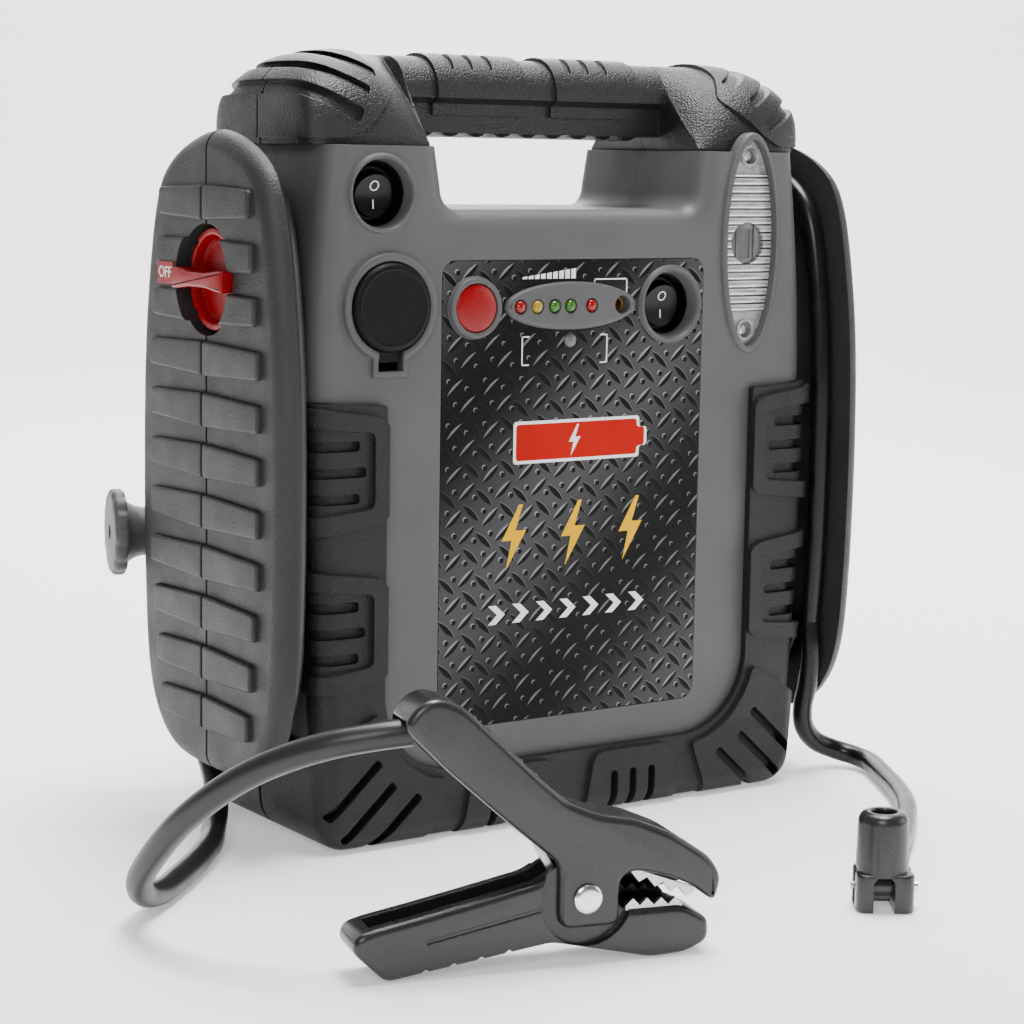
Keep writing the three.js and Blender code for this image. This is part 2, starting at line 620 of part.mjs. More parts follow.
node('label_plate', labelPlate(), 'label');
node('battery_check_button',
  domed(BUTTON.x, BUTTON.z, BUTTON.r, -BODY.front - 3, -BODY.front + 8, 2, 20), 'red');
for (const [name, x, colour] of LAMPS) {
  node(name, domed(x, CONTROL_Z, LAMP_R, -BODY.front - 3.6, -BODY.front + 6, 2.6, 8), colour);
}
node('polarity_lamp',
  domed(POLARITY.x, POLARITY.z, LAMP_R, -BODY.front - 2.2, -BODY.front + 6, 2.6, 8), 'clear');

function chargeJack() {
  const face = -BODY.front;
  const barrel = solid(discY(JACK.x, CONTROL_Z, JACK.r, face + 0.6, face + 14, 20));
  const bore = solid(discY(JACK.x, CONTROL_Z, 3, face, face + 12, 16));
  return barrel.subtract(bore).add(solid(discY(JACK.x, CONTROL_Z, 1, face + 4, face + 13, 8)));
}

node('charge_jack', chargeJack(), 'brass');
node('power_switch_body', switchBody(POWER), 'gloss');
rocker(POWER, 'power_rocker');
node('light_switch_body', switchBody(LIGHT), 'gloss');
rocker(LIGHT, 'light_rocker');
node('dc_socket', dcSocket(), 'gloss');
node('dc_socket_cap', socketCap(), 'rubber');

// ---- work light --------------------------------------------------------------------------------
function lightEllipse(shrink, y0, y1) {
  const { x, z, a, b } = WORK_LIGHT;
  return solid(alongY(ellipseShape(x, z, a - shrink, b - shrink), y0, y1));
}

function lightScrew(side) {
  const head = discY(WORK_LIGHT.x, WORK_LIGHT.z + side * WORK_LIGHT.screw, 2.6, -44.2, -42.6, 14);
  const shank = discY(WORK_LIGHT.x, WORK_LIGHT.z + side * WORK_LIGHT.screw, 1.2, -43, -30, 10);
  return solid(head).add(solid(shank));
}

const screwRoom = joined(...[-1, 1].map((side) => (
  solid(discY(WORK_LIGHT.x, WORK_LIGHT.z + side * WORK_LIGHT.screw, 1.6, -60, -20, 12)))));
const screwHeads = joined(...[-1, 1].map((side) => (
  solid(discY(WORK_LIGHT.x, WORK_LIGHT.z + side * WORK_LIGHT.screw, 3, -60, -42.3, 14)))));
node('work_light_lens', cut(lightEllipse(GAP, -44, -41), screwRoom, screwHeads), 'clear');
node('work_light_reflector', cut(lightEllipse(GAP, -40.6, -33), lightEllipse(1.8, -41, -34.6), screwRoom)
  .add(joined(...[-1, 1].map((side) => (
    solid(discY(WORK_LIGHT.x, WORK_LIGHT.z + side * WORK_LIGHT.screw, 3.4, -40.6, -33, 14)))))
    .subtract(screwRoom)), 'chrome');
node('work_light_board', box(WORK_LIGHT.x - 7, WORK_LIGHT.x + 7, -36.4, -35, WORK_LIGHT.z - 26,
  WORK_LIGHT.z + 26), 'board');
node('upper_lens_screw', lightScrew(1), 'steel');
node('lower_lens_screw', lightScrew(-1), 'steel');

// ---- rotary master switch ----------------------------------------------------------------------
function masterKnob() {
  const profile = [[0, 1.8], [16.5, 1.8], [17.4, 5.2], [20.4, 6], [20.4, 3], [19.6, -0.8], [8, -0.8], [8, -3.8],
    [0, -3.8]];
  const bowl = solid(new THREE.LatheGeometry(profile.map(([r, y]) => new THREE.Vector2(r, y)).reverse(), 22));
  const grip = shapeOf([[-21.3, -4.4], [-15, -4], [-7, -3], [7, -3], [15, -4], [21.3, -4.4], [21.3, 4.4],
    [15, 4], [7, 3], [-7, 3], [-15, 4], [-21.3, 4.4]]);
  const bar = solid(new THREE.ExtrudeGeometry(grip, { depth: 14, bevelEnabled: false }).rotateX(-Math.PI / 2))
    .subtract(joined(
      box(17.2, 30, -1, 7.6, -10, 10), box(-30, -17.2, -1, 7.6, -10, 10)));
  return bowl.add(bar);
}

const knob = node('master_switch_knob', masterKnob(), 'red');
knob.position.set(-REEL.face + 9.6, 0, SWITCH_Z);
knob.rotation.z = Math.PI / 2;

function masterSwitchBody() {
  const outer = new THREE.CylinderGeometry(21.4, 21.4, 3, 32).rotateZ(Math.PI / 2);
  const shaftHole = new THREE.CylinderGeometry(8.5, 8.5, 30, 24).rotateZ(Math.PI / 2);
  return solid(outer).subtract(solid(shaftHole)).translate([-REEL.face + 14 - GAP - 1.5, 0, SWITCH_Z]);
}

node('master_switch_body', masterSwitchBody(), 'gloss');
node('off_plate', box(-REEL.tread - 0.6, -REEL.tread - GAP / 2, 23, 37, SWITCH_Z - 3, SWITCH_Z + 6), 'red');

// ---- windings on the reels ---------------------------------------------------------------------
const CABLE_ROUTE = [
  [-133.6, 44.5, 62], [-133.2, 40.5, 46], [-132.6, 31, 32], [-134.5, 18, 19.5], [-140.5, 5, 10.5],
  [-149, -9, 5.8], [-158, -24, 5.3], [-170, -39, 5.3], [-182, -52, 5.3], [-192, -62, 5.3],
  [-202.5, -72, 5.4], [-212.5, -81, 7.4], [-220, -88.5, 12], [-224.4, -97.5, 20], [-225.2, -110, 31.5],
  [-222.4, -124.5, 45.6], [-216.3, -139, 58.3], [-208.6, -151.5, 67.9], [-199.4, -163, 75],
  [-188.4, -173.6, 80.2], [-176.3, -181.5, 83], [-166.5, -186, 84.2],
];
const HOSE_ROUTE = [
  [134.2, -45.5, 72], [134.3, -47.3, 58], [134.4, -45.6, 43.5], [135.4, -41.5, 31], [139.5, -38.3, 20.8],
  [147.5, -37, 12.8], [156.5, -39.2, 8.4], [163, -46.5, 6], [163.6, -57, 4.9], [158, -68.5, 4.9],
  [150, -83, 4.9], [141.3, -98.5, 4.9], [132, -113, 4.9], [122, -125.6, 4.9], [110, -138.4, 4.9],
  [98.7, -149.4, 4.9], [86, -161.3, 5], [70, -174.4, 6.2], [54, -187.4, 9.2], [41.5, -197.8, 13],
  [33.6, -204.4, 15],
];

function leadWinding(side, route, diameter) {
  const hole = solid(alongX(reelOutline(REEL.drumInset - 0.8), 120, 145));
  const ring = solid(alongX(reelOutline(REEL.windInset), 129.4, REEL.inner - GAP, 3.4, 1)).subtract(hole);
  const turned = side < 0 ? mirrored(ring) : ring;
  return turned.subtract(solid(cord(route.slice(0, 6), diameter + 1.4, 10, diameter)));
}

node('left_cable_winding', leadWinding(-1, CABLE_ROUTE, CABLE_D), 'rubber');
node('right_hose_winding', leadWinding(1, HOSE_ROUTE, HOSE_D), 'hose');
node('left_cable', cord(CABLE_ROUTE, CABLE_D, 10, 13), 'rubber');
node('right_hose', cord(HOSE_ROUTE, HOSE_D, 10, 12), 'hose');

// ---- inside ------------------------------------------------------------------------------------
node('battery', box(-100, 81, -34, 38.5, 10, 172), 'black');
node('control_board', box(-80, 80, -31, -29.4, 182, 204), 'board');
node('compressor_motor', solid(new THREE.CylinderGeometry(17, 17, 56, 20).rotateZ(Math.PI / 2)
  .translate(-26, 20, 214)), 'steel');
node('compressor_cylinder', joined(
  solid(new THREE.CylinderGeometry(13, 13, 30, 16).rotateZ(Math.PI / 2).translate(20, 20, 214)),
  solid(new THREE.CylinderGeometry(11, 11, 26, 16).rotateX(Math.PI / 2).translate(24, 26, 214)),
), 'steel');

// ---- gauge, compressor switch and cable outlet on the rear compartment --------------------------
const gaugeCase = solid(discY(GAUGE.x, GAUGE.z, GAUGE.r, BULGE.rear - 14, BULGE.rear + 2, 24))
  .subtract(solid(discY(GAUGE.x, GAUGE.z, GAUGE.r - 2.5, BULGE.rear - 4, BULGE.rear + 4, 24)));
const needle = box(GAUGE.x - 0.8, GAUGE.x + 0.8, BULGE.rear - 4.4, BULGE.rear - 3, GAUGE.z, GAUGE.z + 15);
node('pressure_gauge', gaugeCase.add(needle), 'gloss');
node('gauge_lens', discY(GAUGE.x, GAUGE.z, GAUGE.r - 2.8, BULGE.rear - 1.6, BULGE.rear + 0.6, 24), 'clear');

function compressorRocker() {
  const { a, b } = COMPRESSOR_SWITCH;
  const side = shapeOf([[-7, -b + 0.6], [2.2, -b + 0.6], [-0.4, 0], [2.2, b - 0.6], [-7, b - 0.6]]);
  return solid(alongX(side, -a + 0.6, a - 0.6));
}

const rearRocker = node('compressor_rocker', compressorRocker(), 'red');
rearRocker.position.set(COMPRESSOR_SWITCH.x, BULGE.rear - 2.4, COMPRESSOR_SWITCH.z);
rearRocker.rotation.x = THREE.MathUtils.degToRad(-6);
node('positive_cable_gland', cut(
  solid(discY(-60, 60, 10.5, BULGE.rear + GAP, BULGE.rear + 9, 20, 10.5)),
  solid(discY(-60, 60, 5.2, BULGE.rear - 5, BULGE.rear + 20, 16)),
), 'rubber');

// ---- battery clamp -----------------------------------------------------------------------------
const CLAMP = { x: -177, y: -183.4, turn: -14.8, half: 10.5, inner: 7.7, rivetS: 72.3, rivetZ: 23.7 };
const clamp = new THREE.Group();
clamp.position.set(CLAMP.x, CLAMP.y, 0);
clamp.rotation.z = THREE.MathUtils.degToRad(CLAMP.turn);
product.add(clamp);

function clampDisc(radius, y0, y1, sides = 18) {
  return solid(discY(CLAMP.rivetS, CLAMP.rivetZ, radius, y0, y1, sides));
}

function upperHandle() {
  const outline = shapeOf([
    [5.4, 87.7], [9.5, 94.2], [15.6, 97.4], [22, 96], [28.5, 92.2], [36, 85], [44.5, 76.8], [55.4, 66.4],
    [65, 58], [76.5, 53], [90, 50.5], [104, 44.5], [119, 34.5], [123.5, 27], [121, 17.7], [84.7, 30.6],
    [84.7, 14.6], [82.5, 12.9], [65, 12.9], [62, 16], [62, 36.5], [40, 55], [21, 72],
  ].reverse());
  const channel = shapeOf([
    [1, 76], [1, 87], [11, 91.2], [21, 91], [38, 77.6], [54, 62], [66, 53.6], [77, 49], [88, 46.6],
    [88, 26], [88, 5], [55, 5], [55, 30], [20, 60],
  ].reverse());
  const pocket = shapeOf([[89.7, 27], [114.3, 18], [115, 21.6], [90.4, 30.4]]);
  const dimple = shapeOf([[93, 46], [104, 40.5], [104, 50], [93, 55]]);
  return cut(
    solid(alongY(outline, -CLAMP.half, CLAMP.half)), solid(alongY(channel, -CLAMP.inner, CLAMP.inner)),
    solid(alongY(pocket, -6.3, 6.3)), solid(alongY(dimple, -5, 5)), clampDisc(2.9, -20, 20, 14));
}

function lowerHandle() {
  const outline = shapeOf([
    [-12, 11.6], [-10.5, 17], [-3.8, 18.9], [10, 21.4], [30, 25.4], [54, 30.4], [62, 35.2], [82, 35.2],
    [85, 26], [85, 18], [108.5, 18], [118.7, 12.4], [118.7, 4.3], [110, 0.6], [97, 0], [60, 8.5], [0, 0],
  ].reverse());
  const tray = shapeOf([[-5, 15.4], [-5, 40], [88, 40], [88, 22], [80, 13], [60, 12], [3, 4.2]].reverse());
  const cheekRoom = joined(clampDisc(17.2, CLAMP.inner - GAP, 20), clampDisc(17.2, -20, GAP - CLAMP.inner));
  const ribs = [14, 24, 34, 44].map((s) => box(s - 1.2, s + 1.2, -20, 20, -1, 1.6 + 0.14 * s));
  return cut(
    solid(alongY(outline, -CLAMP.half, CLAMP.half)), solid(alongY(tray, -5, 5)), cheekRoom, ...ribs,
    clampDisc(2.9, -20, 20, 14));
}

function jawTeeth() {
  const teeth = 7;
  const top = [];
  for (let i = 0; i < teeth; i += 1) {
    const s = 86.5 + (i * 21.5) / teeth;
    const z = 22.9 - 0.42 * i;
    top.push([s, z - 2], [s + 1.5, z]);
  }
  return solid(alongY(shapeOf([[86.5, 18.3], [108.4, 18.3], ...top.reverse()]), -8, 8));
}

function clampSpring() {
  const coil = clampDisc(7.2, -4.2, 4.2).subtract(clampDisc(3.4, -9, 9, 14));
  const upperLeg = shapeOf([[64.8, 24], [67.5, 25.5], [54.6, 46], [52.8, 45]]);
  const lowerLeg = shapeOf([[72, 17.2], [72, 19.2], [42, 15.4], [42, 13.4]]);
  return joined(coil, solid(alongY(upperLeg, -4, -2)), solid(alongY(lowerLeg, 2, 4)));
}

node('clamp_upper_handle', upperHandle(), 'clamp', clamp);
node('clamp_lower_handle', lowerHandle(), 'clamp', clamp);
node('clamp_upper_jaw', alongY(shapeOf([[90, 28.6], [114, 20.1], [114.4, 21.3], [90.5, 29.8]]), -6, 6),
  'steel', clamp);
node('clamp_lower_jaw', jawTeeth(), 'steel', clamp);
node('clamp_spring', clampSpring(), 'steel', clamp);
const rivetHeads = joined(clampDisc(5.2, 10.8, 12.4), clampDisc(5.2, -12.4, -10.8));
node('clamp_rivet', clampDisc(2.5, -11.5, 11.5, 14).add(rivetHeads), 'chrome', clamp);

// ---- tyre-valve connector ----------------------------------------------------------------------
const VALVE = { x: 25, y: -215, turn: -34.5, pinY: 0, pinZ: 8.4 };
const valve = new THREE.Group();
valve.position.set(VALVE.x, VALVE.y, 0);
valve.rotation.z = THREE.MathUtils.degToRad(VALVE.turn);
product.add(valve);

function pinDisc(radius, x0, x1, sides = 14) {
  const disc = new THREE.CylinderGeometry(radius, radius, x1 - x0, sides).rotateZ(Math.PI / 2);
  return solid(disc.translate((x0 + x1) / 2, VALVE.pinY, VALVE.pinZ));
}

function valveBody() {
  const profile = [[0, 12], [10, 12], [9.5, 33], [9, 35.2], [7.8, 36.7], [6, 37.2], [4.6, 36.8], [4.4, 26],
    [0, 26]];
  const barrel = solid(new THREE.LatheGeometry(profile.map(([r, z]) => new THREE.Vector2(r, z)), 20)
    .rotateX(Math.PI / 2));
  const plan = roundedRect(-10.2, 11.6, -9.6, 9.6, 4, 2);
  const fork = solid(new THREE.ExtrudeGeometry(plan, { depth: 14.6, bevelEnabled: false }));
  const slot = box(-4, 4, -20, 20, -1, 13.6);
  const hoseSocket = solid(discY(2.3, 15.6, 5.2, 6, 30, 16));
  return cut(joined(barrel, fork), slot, hoseSocket, pinDisc(1.9, -20, 20));
}

function valveLever() {
  const arm = box(-3.6, 3.6, 0, 15.8, 2.2, 7.4);
  const plate = joined(box(-3.6, 12.4, 13.2, 15.8, 2.2, 7.4), box(9.4, 12.4, 13.2, 15.8, 2.2, 18.2));
  return cut(joined(pinDisc(5, -3.6, 3.6), arm, plate), pinDisc(1.9, -20, 20));
}

node('valve_connector_body', valveBody(), 'black', valve);
node('valve_lever', valveLever(), 'black', valve);
node('valve_pin', joined(pinDisc(1.5, -11.8, 12.6, 12), pinDisc(2.3, 12, 13.6)), 'chrome', valve);

// The base of the main unit is centred on the origin.
const DEPTH_CENTRE = 17.5;
product.position.y = -DEPTH_CENTRE;
const root = new THREE.Group();
root.add(product);

export default root;
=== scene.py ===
"""The looks of the jump starter pack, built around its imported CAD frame.

The drawing functions work in millimetres, in the frame of part.mjs before its shift to the base centre.
place() turns a finished drawing into a piece, in metres in the row frame.
"""

import json
import math

import bmesh
import bpy
from mathutils import Matrix, Vector


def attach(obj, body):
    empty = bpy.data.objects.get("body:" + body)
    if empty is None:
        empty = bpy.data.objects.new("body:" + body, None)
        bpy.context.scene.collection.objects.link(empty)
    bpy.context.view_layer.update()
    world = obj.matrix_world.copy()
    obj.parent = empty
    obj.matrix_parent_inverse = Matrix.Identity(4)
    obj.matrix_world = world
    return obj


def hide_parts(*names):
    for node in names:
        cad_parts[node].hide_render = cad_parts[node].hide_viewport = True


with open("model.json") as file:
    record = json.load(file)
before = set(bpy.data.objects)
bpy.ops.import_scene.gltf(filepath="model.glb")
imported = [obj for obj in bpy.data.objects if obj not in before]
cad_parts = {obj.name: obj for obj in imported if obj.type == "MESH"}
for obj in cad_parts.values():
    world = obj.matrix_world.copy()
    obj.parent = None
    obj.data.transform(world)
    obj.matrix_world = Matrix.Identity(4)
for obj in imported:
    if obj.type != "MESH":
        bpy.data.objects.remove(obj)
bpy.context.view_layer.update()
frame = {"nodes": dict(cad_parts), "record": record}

# ---- driving dimensions, the same as in part.mjs ------------------------------------------------
SHIFT_Y = -17.5
FAR, OVER = 220, 400
OUT, IN = -60, -30
GAP = 0.3
FACE = -46.6
WALL = 3.2
BODY_WAIST, WAIST_Z, SAG_UP, SAG_DOWN = 126.0, 165.0, 0.00063, 0.00027
BODY_TOP, BODY_BASE, BODY_ROUND, CORNER_R = 281.2, 6.0, 9.0, 14.0
GRIP_FLOOR, GRIP_LOW, GRIP_HIGH, GRIP_FILLET = 256.5, 64.0, 67.5, 8.0
WINDOW_X, WINDOW_Z, WINDOW_R, ARM_TOP = 93.0, 29.0, 34.0, 180.0
BUMPER_PROUD, BUMPER_RAISED = 50.0, 52.0
HANDLE_BOTTOM, HANDLE_FOOT, HANDLE_TOP, BAR_BOTTOM = 281.5, 281.22, 317.8, 286.8
REEL_INNER, REEL_FACE, REEL_TREAD, REEL_BEVEL = 139.5, 147.5, 150.0, 8.0
REEL_HALF, REEL_TOP, REEL_MIDDLE = 62.0, 286.4, 157.0
LEAD_X = 134.3
DRUM_INSET = 24.0
SWITCH_Z = 227.4
PANEL_HALF, PANEL_LOW, PANEL_HIGH, PANEL_R = 66.2, 44.4, 235.8, 5.0
CONTROL_Z = 217.0
BULGE_HALF, BULGE_LOW, BULGE_HIGH, BULGE_REAR = 90.0, 30.0, 205.0, 88.0
POST_X, POST_Y, POST_Z, POST_TILT, POST_R = 150.0, 79.0, 116.0, 17.0, 18.5
POWER = {"x": -95.0, "z": 262.5, "ring": 15.5, "mouth": 13.8, "well": 10.9}
LIGHT = {"x": 48.7, "z": 216.6, "ring": 16.3, "mouth": 14.4, "well": 11.4}
SOCKET_X, SOCKET_Z, SOCKET_RING, SOCKET_CAP = -91.0, 218.0, 21.5, 17.9
BUTTON_X, BUTTON_RING, BUTTON_R = -51.0, 12.4, 9.7
ISLAND_X, ISLAND_A, ISLAND_B = -3.3, 33.0, 10.0
LAMPS = {
    "low_charge_lamp": (-29.6, "red_lamp"), "half_charge_lamp": (-21.2, "amber_lamp"),
    "good_charge_lamp": (-12.6, "green_lamp"), "full_charge_lamp": (-4.5, "green_lamp"),
    "charging_lamp": (6.2, "red_lamp"),
}
LAMP_R = 2.6
JACK_X, JACK_R, JACK_HOLE = 22.3, 4.4, 3.8
POLARITY_X, POLARITY_Z = -3.2, 202.7
LAMP_X, LAMP_Z, RIM_A, RIM_B, LENS_A, LENS_B, LENS_SCREW = 91.7, 242.0, 16.0, 47.5, 13.6, 44.6, 37.5
CLAMP_X, CLAMP_Y, CLAMP_TURN, RIVET_S, RIVET_Z = -177.0, -183.4, -14.8, 72.3, 23.7
VALVE_X, VALVE_Y, VALVE_TURN, PIN_Z = 25.0, -215.0, -34.5, 8.4
CABLE_D, HOSE_D = 10.0, 9.0

CABLE_ROUTE = [
    (-133.6, 44.5, 62), (-133.2, 40.5, 46), (-132.6, 31, 32), (-134.5, 18, 19.5), (-140.5, 5, 10.5),
    (-149, -9, 5.8), (-158, -24, 5.3), (-170, -39, 5.3), (-182, -52, 5.3), (-192, -62, 5.3),
    (-202.5, -72, 5.4), (-212.5, -81, 7.4), (-220, -88.5, 12), (-224.4, -97.5, 20), (-225.2, -110, 31.5),
    (-222.4, -124.5, 45.6), (-216.3, -139, 58.3), (-208.6, -151.5, 67.9), (-199.4, -163, 75),
    (-188.4, -173.6, 80.2), (-176.3, -181.5, 83), (-166.5, -186, 84.2),
]
HOSE_ROUTE = [
    (134.2, -45.5, 72), (134.3, -47.3, 58), (134.4, -45.6, 43.5), (135.4, -41.5, 31), (139.5, -38.3, 20.8),
    (147.5, -37, 12.8), (156.5, -39.2, 8.4), (163, -46.5, 6), (163.6, -57, 4.9), (158, -68.5, 4.9),
    (150, -83, 4.9), (141.3, -98.5, 4.9), (132, -113, 4.9), (122, -125.6, 4.9), (110, -138.4, 4.9),
    (98.7, -149.4, 4.9), (86, -161.3, 5), (70, -174.4, 6.2), (54, -187.4, 9.2), (41.5, -197.8, 13),
    (33.6, -204.4, 15),
]
HANDLE_STATIONS = [
    (123.2, 30, 30, 297, 4.5), (120.5, 38, 38, 305.5, 3.3), (109, 42, 42, 314.5, 2.6),
    (94, 43, 43, 317.6, 2.3), (78, 42, 42, 317.8, 1.6), (68.2, 39, 39, 317.8, 1.05),
]
REEL_PROFILE = [
    (0, 286.4), (20, 282.6), (37, 274.6), (47, 263), (54, 240), (60, 200), (62, 150), (61, 95), (57.5, 62),
    (49, 43), (36, 32), (18, 28),
]


def metres(x, y, z):
    """A point of the drawing, in metres in the row frame."""
    return Vector((x, y + SHIFT_Y, z)) * 0.001


# ---- camera ------------------------------------------------------------------------------------
AZIMUTH, ELEVATION, ROLL = math.radians(-34.456), math.radians(8.149), math.radians(0.964)
DISTANCE, LENS, SENSOR = 1.0853, 87.72, 36.0
AIM = (1.1, 0, 124.5)


def make_camera():
    back = Vector((math.sin(AZIMUTH) * math.cos(ELEVATION), -math.cos(AZIMUTH) * math.cos(ELEVATION),
                   math.sin(ELEVATION)))
    level_right = (-back).cross(Vector((0, 0, 1))).normalized()
    level_up = level_right.cross(-back)
    right = level_right * math.cos(ROLL) + level_up * math.sin(ROLL)
    up = level_up * math.cos(ROLL) - level_right * math.sin(ROLL)
    data = bpy.data.cameras.new("camera")
    data.lens, data.sensor_width = LENS, SENSOR
    data.clip_start, data.clip_end = 0.05, 60.0
    camera = bpy.data.objects.new("camera", data)
    turn = Matrix((right, up, back)).transposed().to_4x4()
    camera.matrix_world = Matrix.Translation(metres(*AIM) + back * DISTANCE) @ turn
    bpy.context.scene.collection.objects.link(camera)
    bpy.context.scene.camera = camera


make_camera()


# ---- materials ---------------------------------------------------------------------------------
class Graph:
    """A short way to write one material's node tree."""

    def __init__(self, name):
        self.material = bpy.data.materials.new(name)
        self.material.use_nodes = True
        self.tree = self.material.node_tree
        self.shader = self.tree.nodes["Principled BSDF"]
        self.place = self.tree.nodes.new("ShaderNodeTexCoord").outputs["Object"]

    def add(self, kind, **settings):
        node = self.tree.nodes.new(kind)
        for key, value in settings.items():
            setattr(node, key, value)
        return node

    def feed(self, value, socket):
        if isinstance(value, bpy.types.NodeSocket):
            self.tree.links.new(value, socket)
        else:
            socket.default_value = value

    def math(self, operation, a, b=0.0, c=0.0):
        node = self.add("ShaderNodeMath", operation=operation)
        for value, socket in zip((a, b, c), node.inputs):
            self.feed(value, socket)
        return node.outputs[0]

    def times(self, a, b):
        return self.math("MULTIPLY", a, b)

    def plus(self, a, b):
        return self.math("ADD", a, b)

    def minus(self, a, b):
        return self.math("SUBTRACT", a, b)

    def absolute(self, value):
        return self.math("ABSOLUTE", value)

    def fix(self, name, value):
        """Sets one of the shader's own numbers or colours."""
        self.shader.inputs[name].default_value = value

    def drive(self, name, value):
        """Feeds a value that varies over the surface into the shader."""
        self.feed(value, self.shader.inputs[name])

    def mix(self, amount, a, b):
        node = self.add("ShaderNodeMix", data_type="RGBA")
        for value, socket in ((amount, node.inputs[0]), (a, node.inputs[6]), (b, node.inputs[7])):
            self.feed(value, socket)
        return node.outputs[2]

    def noise(self, size, detail=2.0, stretch=(1, 1, 1)):
        """Smooth noise whose features are about size metres across."""
        mapping = self.add("ShaderNodeMapping")
        self.feed(self.place, mapping.inputs["Vector"])
        mapping.inputs["Scale"].default_value = stretch
        node = self.add("ShaderNodeTexNoise")
        self.feed(mapping.outputs[0], node.inputs["Vector"])
        node.inputs["Scale"].default_value = 1.0 / size
        node.inputs["Detail"].default_value = detail
        return node.outputs["Fac"]

    def cells(self, size):
        node = self.add("ShaderNodeTexVoronoi", feature="SMOOTH_F1")
        self.feed(self.place, node.inputs["Vector"])
        node.inputs["Scale"].default_value = 1.0 / size
        return node.outputs["Distance"]

    def span(self, value, low, high):
        """Maps 0.3..0.7, the usual range of noise, to low..high."""
        node = self.add("ShaderNodeMapRange")
        for socket, number in zip(node.inputs, (value, 0.3, 0.7, low, high)):
            self.feed(number, socket)
        return node.outputs[0]

    def edges(self, radius):
        """1 within radius metres of an edge, and 0 elsewhere."""
        bevel = self.add("ShaderNodeBevel", samples=4)
        bevel.inputs["Radius"].default_value = radius
        turn = self.add("ShaderNodeVectorMath", operation="DOT_PRODUCT")
        self.feed(bevel.outputs[0], turn.inputs[0])
        self.feed(self.add("ShaderNodeNewGeometry").outputs["Normal"], turn.inputs[1])
        return self.math("LESS_THAN", turn.outputs["Value"], 0.96)

    def relief(self, height, depth, soft_edge):
        """Bump of a height field, over edges that catch light as if rounded by soft_edge metres."""
        bump = self.add("ShaderNodeBump")
        self.feed(height, bump.inputs["Height"])
        bump.inputs["Distance"].default_value = depth
        if soft_edge:
            edge = self.add("ShaderNodeBevel", samples=4)
            edge.inputs["Radius"].default_value = soft_edge
            self.feed(edge.outputs[0], bump.inputs["Normal"])
        self.feed(bump.outputs[0], self.shader.inputs["Normal"])


def shade(colour, factor):
    return (colour[0] * factor, colour[1] * factor, colour[2] * factor, 1.0)


def plastic(name, colour, rough, grain=0.0, depth=0.0, edge=0.0005, sheen=0.5, wear=0.25):
    """Moulded plastic: pebbled or fine grain, a little colour drift, and rubbed edges."""
    g = Graph(name)
    drift = g.span(g.noise(0.045, 3), 0.0, 1.0)
    base = g.mix(drift, shade(colour, 0.92), shade(colour, 1.08))
    if edge:
        rubbed = g.times(g.edges(edge), g.span(g.noise(0.006, 3), 0.0, wear))
        base = g.mix(rubbed, base, shade(colour, 1.9))
    g.drive("Base Color", base)
    fine = g.noise(0.00035, 2)
    if grain:
        pebbles = g.plus(g.times(g.cells(grain), 0.8), g.noise(grain * 0.8, 2))
        height = g.plus(pebbles, g.times(fine, 0.2))
    else:
        height = fine
    g.drive("Roughness", g.span(g.noise(0.012, 4), rough - 0.05, rough + 0.07))
    g.fix("Specular IOR Level", sheen)
    g.relief(height, depth or 0.00004, edge)
    return g.material


def metal(name, colour, rough, streak=(1, 1, 12), edge=0.0002):
    """Bare or plated metal with faint drawn lines and smudges."""
    g = Graph(name)
    lines = g.noise(0.0009, 2, streak)
    smudge = g.noise(0.01, 3)
    g.drive("Base Color", g.mix(g.span(smudge, 0, 1), shade(colour, 0.88), shade(colour, 1.0)))
    g.drive("Roughness", g.span(smudge, rough, rough + 0.15))
    g.fix("Metallic", 1.0)
    g.relief(lines, 0.00003, edge)
    return g.material


def translucent(name, colour, rough=0.08, transmit=0.75, glow=0.0):
    """Clear or tinted moulding, slightly wavy."""
    g = Graph(name)
    g.drive("Base Color", g.mix(g.span(g.noise(0.003), 0, 1), shade(colour, 0.85), shade(colour, 1.0)))
    g.fix("Transmission Weight", transmit)
    g.fix("Roughness", rough)
    g.fix("IOR", 1.49)
    g.fix("Emission Color", shade(colour, 1.0))
    g.fix("Emission Strength", glow)
    g.relief(g.noise(0.004), 0.00004, 0.0003)
    return g.material


TREAD_PITCH = 0.0178
RISING_BARS = ((0.0, 0.0), (-0.0063, -0.0109))
FALLING_BARS = ((-0.0091, -0.0027), (0.0024, -0.0088))
STUDS = ((-0.0061, 0.0002), (0.0037, -0.0024), (-0.0095, -0.0082), (-0.0007, -0.0114))


